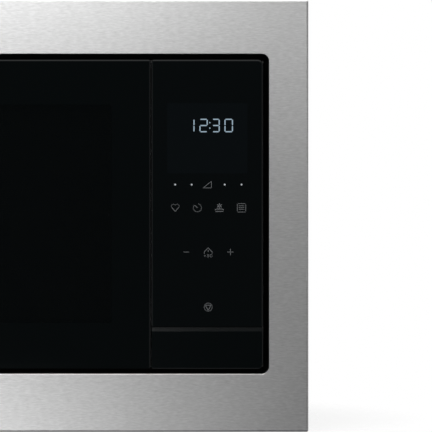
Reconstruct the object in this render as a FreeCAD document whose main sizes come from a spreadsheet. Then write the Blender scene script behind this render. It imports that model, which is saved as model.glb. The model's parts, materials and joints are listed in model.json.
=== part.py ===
"""A built-in microwave oven for a 600 mm kitchen cabinet, with a brushed steel trim frame, a side-hinged
glass door, a touch control panel and a push button that opens the door.

Millimetres. +X is to the right as seen from the front, +Y runs back into the cabinet and +Z is up.
The origin is on the cabinet's front plane, at the middle of the width, at the level of the shelf.
"""

import FreeCAD, Part
import math
import os
from types import SimpleNamespace

import Sketcher

SIZES = {
    # front view: cavity, door, panel, opening and trim frame, from the inside outwards
    "cavity_width": 340,
    "cavity_height": 216,
    "cavity_depth": 340,
    "door_margin_left": 41.5,
    "door_margin_right": 30.6,
    "door_margin_bottom": 31,
    "door_margin_top": 30.15,
    "seam_gap": 1,
    "panel_width": 99.9,
    "side_gap": 5.5,
    "gap_top": 5.55,
    "gap_bottom": 4.4,
    "side_band": 35.5,
    "top_band": 48.3,
    "bottom_band": 52.6,
    "frame_drop": 4,
    # depths
    "frame_depth": 20,
    "front_proud": 3,
    "plate_setback": 8,
    "plate_sheet": 1,
    "back_space": 17,
    "under_floor": 34.8,
    "over_ceiling": 38,
    "casing_extra": 0.5,
    "cavity_sheet": 0.8,
    "casing_sheet": 0.8,
    "running_clearance": 0.05,
    "gap_clearance": 0.3,
    "slide_clearance": 0.4,
    # trim frame
    "frame_sheet": 1,
    "frame_lip": 12,
    "frame_flange": 6,
    "frame_edge_radius": 1.8,
    "frame_corner_radius": 1.6,
    "opening_edge_radius": 0.12,
    "opening_corner_radius": 6.2,
    # inner frame
    "liner_wall": 2.5,
    "liner_flange": 2,
    "liner_flange_width": 4.8,
    "fixing_hole_radius": 2.5,
    "fixing_hole_setback": 1,
    "rail_end": 12,
    "brace_width": 24,
    "brace_sheet": 1.5,
    "brace_lip": 8,
    "brace_inset": 90,
    "brace_setback": 9,
    # door glass and control panel glass
    "glass_thickness": 3.2,
    "glass_bevel": 1.1,
    "glass_bevel_depth": 0.45,
    "glass_corner_outer": 4.6,
    "glass_corner_inner": 1.6,
    # door frame and door panel
    "door_inset": 0.4,
    "door_wall": 2.5,
    "door_flange": 2.5,
    "door_flange_width": 26,
    "door_back": 3.5,
    "door_back_chamfer": 4,
    "choke_left": 21,
    "choke_right": 8,
    "choke_height": 20,
    "choke_floor": 6,
    "choke_rise": 5,
    "screen_inset": 2,
    "choke_cover_thickness": 2.2,
    "choke_cover_edge": 6,
    "choke_cover_left": 15.5,
    "inner_window_thickness": 1,
    "post_radius": 4,
    # hinges
    "hinge_inset": 8,
    "hinge_depth": 9.5,
    "hinge_pin_radius": 2,
    "hinge_arm_radius": 2.9,
    "hinge_arm": 2.5,
    "hinge_arm_level": 7,
    "hinge_pin_length": 11,
    "hinge_notch": 5.5,
    "hinge_boss": 13,
    "hinge_boss_depth": 8.8,
    "hinge_foot": 1.8,
    "hinge_foot_width": 11.5,
    "hinge_foot_height": 28,
    "hinge_screw_low": 0.4,
    "hinge_screw_high": 0.8,
    # latch, release lever and interlock switches
    "hook_inset": 16,
    "hook_thickness": 4,
    "hook_level": 34,
    "hook_spacing": 140,
    "hook_height": 8,
    "hook_reach": 25,
    "hook_root": 1,
    "hook_clearance": 2,
    "nose_length": 7,
    "nose_drop": 3.2,
    "nose_width": 15,
    "latch_bar_depth": 9,
    "latch_bar_front": 11,
    "latch_bar_overhang": 18,
    "ledge_length": 6,
    "slot_width": 24,
    "slot_above": 14,
    "slot_below": 10,
    "latch_board_wall": 2.5,
    "latch_board_margin": 26,
    "switch_length": 27.8,
    "switch_width": 10.2,
    "switch_height": 15.9,
    "switch_gap": 0.6,
    "switch_setback": 1,
    "switch_fit": 0.1,
    "blade_low": 0.3,
    "blade_high": 0.7,
    "blade_length": 7,
    "blade_sheet": 0.8,
    "plunger_radius": 1.5,
    "plunger_height": 1.6,
    "plunger_length": 4,
    "plunger_socket": 3.2,
    "plunger_setback": 3,
    "lever_pivot_radius": 2.5,
    "lever_finger_reach": 15.3,
    "lever_finger_radius": 2.5,
    "lever_push_height": 18,
    "lever_thickness": 4,
    # control panel
    "button_height": 37.1,
    "button_gap": 0.3,
    "button_bevel": 3.6,
    "button_bevel_depth": 1.05,
    "button_skirt": 9,
    "button_wall": 2.5,
    "button_travel": 5,
    "rod_width": 5,
    "rod_height": 8,
    "rod_inset": 1.6,
    "panel_wall": 2,
    "cable_slot_low": 72,
    "cable_slot_high": 39,
    "display_width": 72,
    "display_depth": 6,
    "display_top_share": 0.1625,
    "display_height_share": 0.2625,
    "board_thickness": 1.6,
    "board_margin": 8,
    "key_radius": 4.5,
    "key_pitch": 19.8,
    "key_row_share": 0.1645,
    "key_top_share": 0.55,
    "solder_depth": 0.5,
    "relay_width": 15.9,
    "relay_length": 27.8,
    "relay_depth": 6,
    "spring_radius": 4,
    "spring_wire": 0.9,
    "spring_turns": 7,
    # turntable
    "tray_radius": 150,
    "tray_thickness": 5,
    "tray_rim": 13,
    "tray_rim_width": 12,
    "tray_fillet": 0.8,
    "tray_rib_start": 17,
    "tray_rib_end": 28,
    "tray_rib_radius": 3,
    "roller_radius": 8,
    "roller_width": 6,
    "roller_standoff": 10,
    "roller_chamfer": 0.75,
    "roller_pin_radius": 2,
    "ring_radius": 88,
    "ring_bar": 8,
    "ring_thickness": 5,
    "coupler_radius": 15,
    "coupler_lobe": 6,
    "coupler_roof": 2,
    "shaft_radius": 3.5,
    "motor_radius": 24.5,
    "motor_height": 18,
    "motor_ear": 32,
    "motor_ear_width": 9,
    "motor_bore_depth": 16,
    # microwave source
    "waveguide_depth": 36,
    "waveguide_width": 92,
    "waveguide_height": 78,
    "waveguide_share": 0.485,
    "port_clearance": 2,
    "waveguide_below": 36,
    "lamp_vent_share": 0.212,
    "lamp_vent_length_share": 0.235,
    "lamp_vent_height": 40,
    "lamp_length": 44,
    "lamp_depth": 38,
    "lamp_base_start": 19,
    "lamp_base_radius": 9,
    "lamp_glass_start": 4,
    "lamp_glass_radius": 12,
    "lamp_vent_columns": 12,
    "lamp_vent_rows": 6,
    "vent_below_ceiling": 24,
    "exhaust_setback": 110,
    "exhaust_length": 60,
    "exhaust_height": 32,
    "exhaust_columns": 9,
    "exhaust_rows": 5,
    "vent_hole_radius": 1.5,
    "mica_overlap": 10,
    "mica_thickness": 0.6,
    "magnetron_width": 62,
    "magnetron_length": 92,
    "magnetron_height": 74,
    "magnetron_sheet": 1.6,
    "fin_count": 9,
    "fin_sheet": 0.8,
    "anode_radius": 21,
    "antenna_radius": 9,
    "antenna_length": 26,
    "antenna_step": 1,
    "filter_box_depth": 16,
    "filter_box_inset": 16,
    # high voltage supply
    "core_length": 96,
    "core_width": 78,
    "core_height": 84,
    "core_limb": 16,
    "core_share": 0.229,
    "supply_inset": 16,
    "winding_bulge": 13,
    "capacitor_length": 88,
    "capacitor_width": 50,
    "capacitor_height": 34,
    "capacitor_share": 0.682,
    "capacitor_flat": 0.5,
    "tag_offset": 9,
    "tag_width": 6,
    "tag_sheet": 0.8,
    "tag_length": 7,
    "clamp_sheet": 1.2,
    "clamp_width": 18,
    "clamp_corner": 1,
    "diode_radius": 4,
    "diode_length": 20,
    "diode_lead_radius": 1,
    # cooling fan
    "fan_radius": 47,
    "fan_hub_radius": 12,
    "fan_hub_length": 16,
    "fan_blades": 5,
    "fan_chord": 26,
    "fan_blade_thickness": 1.6,
    "fan_rise_share": 0.7,
    "blade_root": 2,
    "fan_root_pitch": 50,
    "fan_tip_pitch": 28,
    "fan_collar": 3,
    "fan_setback": 22,
    "fan_level": 132,
    "fan_duct_half": 56,
    "fan_shaft_radius": 2.5,
    "fan_motor_gap": 8,
    "stator_half": 26,
    "stator_length": 20,
    "stator_coil_proud": 4,
    "stator_coil_drop": 41.6,
    "motor_bar_sheet": 1.2,
    "motor_cross": 18,
    # mains filter and thermal cut-outs
    "filter_length": 78,
    "coil_radius": 12,
    "coil_inset": 19,
    "coil_height": 18,
    "filter_block_width": 20,
    "filter_block_length": 40,
    "filter_block_height": 16,
    "fuse_radius": 4,
    "fuse_length": 26,
    "cutout_height": 8,
    "cutout_radius": 8,
    "cutout_flange": 24,
    "cutout_flange_width": 8,
    # casing
    "vent_slot_length": 34,
    "vent_slot_width": 4,
    "vent_pitch": 11,
    "casing_slots": 8,
    "fan_slots": 8,
    "back_slots": 12,
    "base_slots": 14,
    "base_slot_setback": 96,
    "base_lip": 12,
    "emboss_width": 150,
    "emboss_height": 60,
    "emboss_depth": 2,
    "emboss_corner": 12,
    "foot_top_radius": 19,
    "foot_bottom_radius": 14,
    "foot_inset_side": 42,
    "foot_inset_front": 46,
    "foot_inset_back": 48,
    "foot_pad": 5,
    "foot_groove": 1,
    "foot_shoulder": 2,
    "inlet_hole_radius": 8,
    "inlet_bore_radius": 4,
    "inlet_flange": 3,
    "inlet_height": 34,
    "inlet_inset": 40,
    "screw_radius": 1.9,
    "screw_head_radius": 3.8,
    "screw_head": 2,
    "screw_length": 7,
    "screw_clearance": 0.1,
}

doc = FreeCAD.newDocument("built_in_microwave")
sheet = doc.addObject("Spreadsheet::Sheet", "Sizes")
for row, (alias, number) in enumerate(SIZES.items(), start=1):
    sheet.set(f"A{row}", alias)
    sheet.set(f"B{row}", str(number))
    sheet.setAlias(f"B{row}", alias)
doc.recompute()


class Size:
    """A size worked out from the sheet: its value now and the expression that binds it to the cells."""

    def __init__(self, text, value):
        self.text = text
        self.value = float(value)

    @staticmethod
    def of(other):
        return other if isinstance(other, Size) else Size(repr(float(other)), other)

    def join(self, sign, other, value):
        return Size(f"({self.text} {sign} {other.text})", value)

    def __add__(self, other):
        other = Size.of(other)
        return self.join("+", other, self.value + other.value)

    def __sub__(self, other):
        other = Size.of(other)
        return self.join("-", other, self.value - other.value)

    def __mul__(self, other):
        other = Size.of(other)
        return self.join("*", other, self.value * other.value)

    def __truediv__(self, other):
        other = Size.of(other)
        return self.join("/", other, self.value / other.value)

    def __radd__(self, other):
        return Size.of(other) + self

    def __rsub__(self, other):
        return Size.of(other) - self

    def __rmul__(self, other):
        return Size.of(other) * self

    def __neg__(self):
        return Size(f"(0 - {self.text})", -self.value)


def sine(angle):
    return Size(f"sin({angle.text})", math.sin(math.radians(angle.value)))


def cosine(angle):
    return Size(f"cos({angle.text})", math.cos(math.radians(angle.value)))


S = SimpleNamespace(**{alias: Size(f"Sizes.{alias}", getattr(sheet, alias)) for alias in SIZES})

# Places across the width
door_width = S.door_margin_left + S.cavity_width + S.door_margin_right
front_width = door_width + S.seam_gap + S.panel_width
door_left = -front_width / 2
door_right = door_left + door_width
panel_left = door_right + S.seam_gap
panel_right = front_width / 2
opening_right = panel_right + S.side_gap
opening_left = -opening_right
frame_right = opening_right + S.side_band
frame_left = -frame_right
cavity_left = door_left + S.door_margin_left
cavity_right = cavity_left + S.cavity_width
cavity_middle = (cavity_left + cavity_right) / 2
casing_right = panel_right + S.casing_extra
casing_left = -casing_right
bay_left = cavity_right + S.cavity_sheet
bay_right = casing_right - S.casing_sheet

# Places up the height
frame_bottom = -S.frame_drop
opening_bottom = frame_bottom + S.bottom_band
door_bottom = opening_bottom + S.gap_bottom
floor = door_bottom + S.door_margin_bottom
ceiling = floor + S.cavity_height
door_top = ceiling + S.door_margin_top
opening_top = door_top + S.gap_top
frame_top = opening_top + S.top_band
base_top = floor - S.under_floor
base_bottom = base_top - S.casing_sheet
casing_top = ceiling + S.over_ceiling

# Places through the depth
frame_front = -S.frame_depth
frame_back = frame_front + S.frame_depth
glass_front = frame_front - S.front_proud
glass_back = glass_front + S.glass_thickness
plate_front = S.plate_setback
plate_back = plate_front + S.plate_sheet
cavity_back = plate_front + S.cavity_depth
casing_back = cavity_back + S.back_space
turn_centre = (plate_front + cavity_back) / 2


# Features bound to the sheet; a tool that cuts through a face stands past it

PAST = 1

def bind(item, path, size):
    item.setExpression(path, Size.of(size).text)


def box(label, x, y, z):
    """A block between two places on each axis."""
    block = doc.addObject("Part::Box", label)
    for side, axis, (low, high) in zip(("Length", "Width", "Height"), "xyz", (x, y, z)):
        bind(block, side, Size.of(high) - low)
        bind(block, f".Placement.Base.{axis}", low)
    return block


TURNS = {
    "x": FreeCAD.Rotation(FreeCAD.Vector(0, 1, 0), 90),
    "y": FreeCAD.Rotation(FreeCAD.Vector(1, 0, 0), -90),
    "z": FreeCAD.Rotation(),
}


def place(item, axis, centre, start):
    """Stands an item's own Z along an axis, from a start on it; centre is its place on the other two axes."""
    item.Placement = FreeCAD.Placement(FreeCAD.Vector(), TURNS[axis])
    across = [name for name in "xyz" if name != axis]
    for name, size in zip([*across, axis], [*centre, start]):
        bind(item, f".Placement.Base.{name}", size)


def rod(label, axis, centre, span, radius):
    """A round bar along an axis."""
    bar = doc.addObject("Part::Cylinder", label)
    bind(bar, "Radius", radius)
    bind(bar, "Height", Size.of(span[1]) - span[0])
    place(bar, axis, centre, span[0])
    return bar


def fuse(label, *pieces):
    joined = doc.addObject("Part::MultiFuse", label)
    joined.Shapes = list(pieces)
    joined.Refine = True
    return joined


def group(label, *pieces):
    """Separate solids that share one name."""
    gathered = doc.addObject("Part::Compound", label)
    gathered.Links = list(pieces)
    return gathered


def cut(label, base, *tools):
    """Takes tools that don't meet each other out of a base."""
    left = doc.addObject("Part::Cut", label)
    left.Base = base
    left.Tool = tools[0] if len(tools) == 1 else group(f"{label}_tools", *tools)
    left.Refine = True
    return left


def tube(label, axis, centre, span, outer, inner):
    """A round bar with a bore right through it."""
    return cut(
        label,
        rod(f"{label}_bar", axis, centre, span, outer),
        rod(f"{label}_bore", axis, centre, (Size.of(span[0]) - PAST, Size.of(span[1]) + PAST), inner),
    )


def ring(label, x, y, z, wall):
    """A rectangular frame, open along Y, with walls of one thickness inside the places given."""
    return cut(
        label,
        box(f"{label}_block", x, y, z),
        box(
            f"{label}_hole",
            (x[0] + wall, x[1] - wall),
            (Size.of(y[0]) - PAST, Size.of(y[1]) + PAST),
            (z[0] + wall, z[1] - wall),
        ),
    )


# Sketches: a loop is a list of points, a rounded rectangle or a circle, in the sketch plane's own two axes

PLANES = {"x": "YZ_Plane", "y": "XZ_Plane", "z": "XY_Plane"}
SKETCH_NORMAL = {"x": 1, "y": -1, "z": 1}


def rounded(u, v, bottom_left, bottom_right, top_right, top_left):
    """A rectangle's points with a radius at each corner."""
    return SimpleNamespace(u=u, v=v, radii=(bottom_left, bottom_right, top_right, top_left))


def circle(centre, radius):
    return SimpleNamespace(centre=centre, radius=radius)


def vector(point):
    return FreeCAD.Vector(Size.of(point[0]).value, Size.of(point[1]).value, 0)


def pin_point(drawing, edge, end, point):
    """Holds one end of an edge at a place that follows the sheet."""
    for kind, size in zip(("DistanceX", "DistanceY"), point):
        name = f"{kind}_{edge}_{end}"
        number = drawing.addConstraint(
            Sketcher.Constraint(kind, -1, 1, edge, end, Size.of(size).value)
        )
        drawing.renameConstraint(number, name)
        bind(drawing, f"Constraints.{name}", size)


def hold_radius(drawing, edge, radius):
    number = drawing.addConstraint(Sketcher.Constraint("Radius", edge, Size.of(radius).value))
    drawing.renameConstraint(number, f"Radius_{edge}")
    bind(drawing, f"Constraints.Radius_{edge}", radius)


def draw_polygon(drawing, points):
    first = drawing.GeometryCount
    count = len(points)
    for start, end in zip(points, points[1:] + points[:1]):
        drawing.addGeometry(Part.LineSegment(vector(start), vector(end)), False)
    for number, point in enumerate(points):
        after = first + (number - 1) % count
        drawing.addConstraint(Sketcher.Constraint("Coincident", after, 2, first + number, 1))
        pin_point(drawing, first + number, 1, point)


def draw_rounded(drawing, shape):
    """Four sides joined by quarter arcs, each end held and each arc given its radius."""
    (left, right), (low, high) = shape.u, shape.v
    corner_points = [(left, low), (right, low), (right, high), (left, high)]
    ways = [(1, 0), (0, 1), (-1, 0), (0, -1)]
    sides, centres = [], []
    for number, way in enumerate(ways):
        following = (number + 1) % 4
        start_radius, end_radius = shape.radii[number], shape.radii[following]
        start, end = corner_points[number], corner_points[following]
        sides.append(
            (
                tuple(a + start_radius * w for a, w in zip(start, way)),
                tuple(a - end_radius * w for a, w in zip(end, way)),
            )
        )
        inward = tuple(w - v for w, v in zip(way, ways[number - 1]))
        centres.append(tuple(a + start_radius * w for a, w in zip(start, inward)))
    first = drawing.GeometryCount
    for start, end in sides:
        drawing.addGeometry(Part.LineSegment(vector(start), vector(end)), False)
    for number, centre in enumerate(centres):
        radius = Size.of(shape.radii[number]).value
        turn = math.pi / 2 * (number + 2)
        arc = Part.Circle(vector(centre), FreeCAD.Vector(0, 0, 1), radius)
        drawing.addGeometry(Part.ArcOfCircle(arc, turn, turn + math.pi / 2), False)
    for number, (start, end) in enumerate(sides):
        side, arc, next_arc = first + number, first + 4 + number, first + 4 + (number + 1) % 4
        pin_point(drawing, side, 1, start)
        pin_point(drawing, side, 2, end)
        drawing.addConstraint(Sketcher.Constraint("Coincident", arc, 2, side, 1))
        drawing.addConstraint(Sketcher.Constraint("Coincident", side, 2, next_arc, 1))
        hold_radius(drawing, arc, shape.radii[number])


def draw_circle(drawing, shape):
    edge = drawing.addGeometry(
        Part.Circle(vector(shape.centre), FreeCAD.Vector(0, 0, 1), Size.of(shape.radius).value), False
    )
    pin_point(drawing, edge, 3, shape.centre)
    hold_radius(drawing, edge, shape.radius)


def sketch(body, axis, level, *loops):
    """A sketch square to an axis, at a level along it."""
    drawing = body.newObject("Sketcher::SketchObject", f"{body.Label}_sketch")
    plane = next(p for p in body.Origin.OriginFeatures if p.Role == PLANES[axis])
    drawing.AttachmentSupport = (plane, [""])
    drawing.MapMode = "FlatFace"
    bind(drawing, ".AttachmentOffset.Base.z", SKETCH_NORMAL[axis] * Size.of(level))
    for loop in loops:
        if isinstance(loop, list):
            draw_polygon(drawing, loop)
        elif hasattr(loop, "radii"):
            draw_rounded(drawing, loop)
        else:
            draw_circle(drawing, loop)
    return drawing


def new_body(label):
    return doc.addObject("PartDesign::Body", label)


def rectangle(u, v):
    return [(u[0], v[0]), (u[1], v[0]), (u[1], v[1]), (u[0], v[1])]


def pad(body, axis, span, *loops):
    """Material between two places on an axis."""
    start = span[1] if axis == "y" else span[0]
    feature = body.newObject("PartDesign::Pad", f"{body.Label}_pad")
    feature.Profile = sketch(body, axis, start, *loops)
    bind(feature, "Length", Size.of(span[1]) - span[0])
    doc.recompute()
    return feature


def pocket(body, axis, span, *loops):
    """Takes material away between two places on an axis, and stops the build if nothing was there."""
    doc.recompute()
    before = body.Shape.Volume
    start = span[0] if axis == "y" else span[1]
    feature = body.newObject("PartDesign::Pocket", f"{body.Label}_pocket")
    feature.Profile = sketch(body, axis, start, *loops)
    bind(feature, "Length", Size.of(span[1]) - span[0])
    doc.recompute()
    if not body.Shape.Volume < before:
        raise RuntimeError(f"a pocket in {body.Label} cut nothing")
    return feature


def revolve(body, points):
    """Turns a profile of (radius, height) points about the body's own Z."""
    feature = body.newObject("PartDesign::Revolution", f"{body.Label}_turned")
    profile = sketch(body, "y", 0, points)
    feature.Profile = profile
    feature.ReferenceAxis = (profile, ["V_Axis"])
    feature.Angle = 360
    doc.recompute()
    return feature


def dress(body, kind, size_name, size, test, depth=None):
    """A fillet or chamfer on the edges of the body that pass a test; depth flattens a chamfer."""
    doc.recompute()
    base = body.Tip
    names = [f"Edge{n}" for n, edge in enumerate(base.Shape.Edges, start=1) if test(edge)]
    if not names:
        raise RuntimeError(f"no edge of {body.Label} passes the test for its {kind}")
    feature = body.newObject(f"PartDesign::{kind}", f"{body.Label}_{kind.lower()}")
    feature.Base = (base, names)
    bind(feature, size_name, size)
    if depth is not None:
        feature.ChamferType = "Two distances"
        feature.FlipDirection = True
        bind(feature, "Size2", depth)
    doc.recompute()
    return feature


def lies_at(edge, axis, place_on_axis):
    """Whether an edge lies wholly at one place on an axis."""
    low = getattr(edge.BoundBox, f"{axis.upper()}Min")
    high = getattr(edge.BoundBox, f"{axis.upper()}Max")
    near = 0.01
    return abs(low - place_on_axis.value) < near and abs(high - place_on_axis.value) < near


# Trim frame: one folded sheet with a deep outer edge, a back lip and a short edge at the opening

def make_trim_frame():
    body = new_body("trim_frame")
    corner = S.frame_corner_radius
    wall = S.frame_sheet
    pad(
        body, "y", (frame_front, frame_back),
        rounded((frame_left, frame_right), (frame_bottom, frame_top), corner, corner, corner, corner),
    )
    inside = rectangle(
        (frame_left + wall, frame_right - wall),
        (frame_bottom + wall, frame_top - wall),
    )
    pocket(body, "y", (frame_front + wall, frame_back - wall), inside)
    lip = S.frame_lip
    pocket(
        body, "y", (frame_back - wall, frame_back),
        rectangle((frame_left + lip, frame_right - lip), (frame_bottom + lip, frame_top - lip)),
    )
    radius = S.opening_corner_radius
    outer_radius = radius + wall
    pad(
        body, "y", (frame_front + wall, frame_front + S.frame_flange),
        rounded(
            (opening_left - wall, opening_right + wall), (opening_bottom - wall, opening_top + wall),
            outer_radius, outer_radius, outer_radius, outer_radius,
        ),
    )
    pocket(
        body, "y", (frame_front, frame_front + S.frame_flange),
        rounded((opening_left, opening_right), (opening_bottom, opening_top), radius, radius, radius, radius),
    )

    def on_opening(edge):
        box_of = edge.BoundBox
        return box_of.XMin > opening_left.value - PAST and box_of.XMax < opening_right.value + PAST

    dress(
        body, "Fillet", "Radius", S.frame_edge_radius,
        lambda edge: lies_at(edge, "y", frame_front) and not on_opening(edge)
        or lies_at(edge, "y", frame_front) and edge.BoundBox.ZMax > frame_top.value - PAST
        or lies_at(edge, "y", frame_front) and edge.BoundBox.ZMin < frame_bottom.value + PAST,
    )
    dress(
        body, "Fillet", "Radius", S.opening_edge_radius,
        lambda edge: lies_at(edge, "y", frame_front) and on_opening(edge)
        and edge.BoundBox.ZMin > opening_bottom.value - PAST
        and edge.BoundBox.ZMax < opening_top.value + PAST,
    )
    return body


# Inner frame: a black moulding that lines the opening and is screwed to the front plate by its back flange

liner_front = frame_front + S.frame_flange
liner_flange_front = plate_front - S.liner_flange
rail_z = (opening_bottom + S.rail_end, opening_top - S.rail_end)


def make_inner_frame():
    body = new_body("inner_frame")
    wall = S.liner_wall
    radius = S.opening_corner_radius
    outer = radius + wall
    pad(
        body, "y", (liner_front, plate_front),
        rounded(
            (opening_left - wall, opening_right + wall), (opening_bottom - wall, opening_top + wall),
            outer, outer, outer, outer,
        ),
    )
    pocket(
        body, "y", (liner_front, liner_flange_front),
        rounded((opening_left, opening_right), (opening_bottom, opening_top), radius, radius, radius, radius),
    )
    reach = S.liner_flange_width
    pocket(
        body, "y", (liner_flange_front, plate_front),
        rectangle(
            (opening_left + reach, opening_right - reach), (opening_bottom + reach, opening_top - reach),
        ),
    )
    pocket(
        body, "y", (liner_front, plate_front),
        rectangle((opening_left - 2 * wall, opening_left + 2 * reach), rail_z),
    )
    return body


# Side rail: the hinge side of the inner frame, with the hole for the screw into the cabinet

def make_side_rail():
    body = new_body("side_rail")
    outside, inside = opening_left - S.liner_wall, opening_left + S.liner_flange_width
    pad(
        body, "z", rail_z,
        [(outside, liner_front), (opening_left, liner_front), (opening_left, liner_flange_front),
         (inside, liner_flange_front), (inside, plate_front), (outside, plate_front)],
    )
    pocket(
        body, "x", (outside - PAST, opening_left + PAST),
        circle((S.fixing_hole_setback, (rail_z[0] + rail_z[1]) / 2), S.fixing_hole_radius),
    )
    return body


# Trim braces: folded steel straps that bridge the hollow of the trim, two on each side

def make_brace(label, along, centre, inner, outer):
    """A strap from the inner frame to the trim's edge, with a lip folded back at each end."""
    front = frame_front + S.brace_setback
    back = front + S.brace_sheet
    lip = (back, back + S.brace_lip)
    half = S.brace_width / 2
    side = (centre - half, centre + half)
    low, high = (inner, outer) if inner.value < outer.value else (outer, inner)
    pieces = [
        ((low, high), (front, back)), ((low, low + S.brace_sheet), lip),
        ((high - S.brace_sheet, high), lip),
    ]
    blocks = []
    for number, (span, depth) in enumerate(pieces):
        x, z = (span, side) if along == "x" else (side, span)
        blocks.append(box(f"{label}_{number}", x, depth, z))
    return fuse(label, *blocks)


def make_trim_braces():
    wall = S.frame_sheet
    liner = S.liner_wall
    braces = []
    for number, sign in enumerate((-1, 1)):
        x_place = sign * (frame_right - S.side_band - S.brace_inset)
        z_place = (frame_bottom + frame_top) / 2 + sign * S.brace_inset
        braces += [
            make_brace(f"brace_top_{number}", "z", x_place, opening_top + liner, frame_top - wall),
            make_brace(f"brace_bottom_{number}", "z", x_place, opening_bottom - liner, frame_bottom + wall),
            make_brace(f"brace_left_{number}", "x", z_place, opening_left - liner, frame_left + wall),
            make_brace(f"brace_right_{number}", "x", z_place, opening_right + liner, frame_right - wall),
        ]
    return group("trim_braces", *braces)


# Glass of the door and of the panel: a pane with a ground bevel all round the front

def make_pane(label, x, z, radii):
    body = new_body(label)
    pad(body, "y", (glass_front, glass_back), rounded(x, z, *radii))
    dress(
        body, "Chamfer", "Size", S.glass_bevel,
        lambda edge: lies_at(edge, "y", glass_front), S.glass_bevel_depth,
    )
    return body


button_top = door_bottom + S.button_height
panel_bottom = button_top + S.button_gap


def make_door_glass():
    outer, inner = S.glass_corner_outer, S.glass_corner_inner
    return make_pane(
        "door_glass", (door_left, door_right), (door_bottom, door_top), (outer, inner, inner, outer),
    )


def make_panel_glass():
    outer, inner = S.glass_corner_outer, S.glass_corner_inner
    return make_pane(
        "panel_glass", (panel_left, panel_right), (panel_bottom, door_top), (inner, inner, outer, inner)
    )


# Hinges: two steel brackets on the front plate, each with an arm into the door's edge and a fixed pin

hinge_x = door_left + S.hinge_inset
hinge_y = glass_front + S.hinge_depth
hinge_sides = (("upper", -1, door_top), ("lower", 1, door_bottom))


def between(start, sign, length):
    """A span from a place, up or down by a length."""
    end = start + sign * length
    return (start, end) if sign > 0 else (end, start)


def hinge_screw_places():
    """The screws' (x, z) on the feet of both hinges."""
    foot_middle = hinge_x
    for _, sign, edge in hinge_sides:
        start = edge + sign * S.hinge_arm_level
        for share in (S.hinge_screw_low, S.hinge_screw_high):
            yield foot_middle, start + sign * share * S.hinge_foot_height


def make_hinge(name, sign, edge):
    arm_start = edge + sign * S.hinge_arm_level
    arm = between(arm_start, sign, S.hinge_arm)
    half = S.hinge_foot_width / 2
    foot_front = plate_front - S.hinge_foot
    foot = box(
        f"hinge_{name}_foot", (hinge_x - half, hinge_x + half), (foot_front, plate_front),
        between(arm_start, sign, S.hinge_foot_height),
    )
    holes = [
        rod(
            f"hinge_{name}_hole_{n}", "y", place_of, (foot_front - PAST, plate_front + PAST),
            S.screw_radius + S.screw_clearance,
        )
        for n, place_of in enumerate(hinge_screw_places())
        if (place_of[1].value - arm_start.value) * sign > 0
        and abs(place_of[1].value - arm_start.value) < S.hinge_foot_height.value
    ]
    drilled = cut(f"hinge_{name}_drilled", foot, *holes)
    radius = S.hinge_arm_radius
    strap = box(f"hinge_{name}_arm", (hinge_x - radius, hinge_x + radius), (hinge_y, foot_front), arm)
    eye = rod(f"hinge_{name}_eye", "z", (hinge_x, hinge_y), arm, radius)
    pin = rod(
        f"hinge_{name}_pin", "z", (hinge_x, hinge_y),
        between(arm_start, sign, S.hinge_pin_length), S.hinge_pin_radius,
    )
    return fuse(f"hinge_{name}", drilled, strap, eye, pin)


# Door frame: a moulding behind the glass that carries the steel panel, the hinge sockets and the latch guides

flange_back = glass_back + S.door_flange
frame_x = (door_left + S.door_inset, door_right - S.door_inset)
frame_z = (door_bottom + S.door_inset, door_top - S.door_inset)
panel_floor = -S.choke_floor
hook_x = door_right - S.hook_inset
latch_y = (-S.latch_bar_front, -S.latch_bar_front + S.latch_bar_depth)
hook_half = S.hook_thickness / 2
hook_low = floor + S.hook_level
hook_high = hook_low + S.hook_spacing
latch_bottom = hook_low - S.latch_bar_overhang
latch_top = hook_high + S.hook_height + S.latch_bar_overhang


def post_places():
    """The (x, z) of the posts that the steel panel stands on."""
    out = S.post_radius + S.screen_inset
    for x in (cavity_left - out, cavity_right + out):
        for z in (floor - out, ceiling + out):
            yield x, z


def make_door_frame():
    body = new_body("door_frame")
    wall = S.door_wall
    chamfer = S.door_back_chamfer
    back = S.door_back
    left, right = frame_x
    pad(
        body, "z", frame_z,
        [
            (left, glass_back), (right, glass_back), (right, back), (left + chamfer, back),
            (left, back - chamfer),
        ],
    )
    pocket(
        body, "y", (flange_back, back + PAST),
        rectangle((left + chamfer + wall, right - wall), (frame_z[0] + wall, frame_z[1] - wall)),
    )
    border = S.door_flange_width
    pocket(
        body, "y", (glass_back, flange_back),
        rectangle((left + border, right - border), (frame_z[0] + border, frame_z[1] - border)),
    )
    boss = (left, left + S.hinge_boss)
    boss_back = flange_back + S.hinge_boss_depth
    for _, sign, edge in hinge_sides:
        arm_middle = edge + sign * (S.hinge_arm_level + S.hinge_arm / 2)
        notch_start = arm_middle - sign * S.hinge_notch / 2
        notch_end = arm_middle + sign * S.hinge_notch / 2
        pad(
            body, "z", between(notch_end, sign, S.hinge_boss),
            rectangle(boss, (flange_back, boss_back)),
        )
        pocket(
            body, "y", (flange_back, back + PAST),
            rectangle((left - PAST, left + S.hinge_boss), between(notch_start, sign, S.hinge_notch)),
        )
        pocket(
            body, "z", between(notch_end, sign, S.hinge_boss),
            circle((hinge_x, hinge_y), S.hinge_pin_radius + S.running_clearance),
        )
    guide = S.hook_height
    middle = (hook_low + hook_high) / 2
    for step in (-1, 1):
        level = middle + step * S.hook_spacing / 4
        pad(
            body, "z", (level - guide / 2, level + guide / 2),
            rectangle((hook_x + hook_half + S.gap_clearance, right - wall / 2), latch_y),
        )
    for x, z in post_places():
        pad(body, "y", (flange_back - wall / 2, panel_floor), circle((x, z), S.post_radius))
    anchor = S.spring_wire * 2
    spring_end = latch_bottom - S.latch_bar_overhang - S.spring_wire
    pad(
        body, "z", (spring_end - anchor, spring_end),
        rectangle((hook_x - S.spring_radius, right - wall / 2), latch_y),
    )
    return body


# Door panel: pressed steel, with the choke channel round a perforated screen

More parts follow.
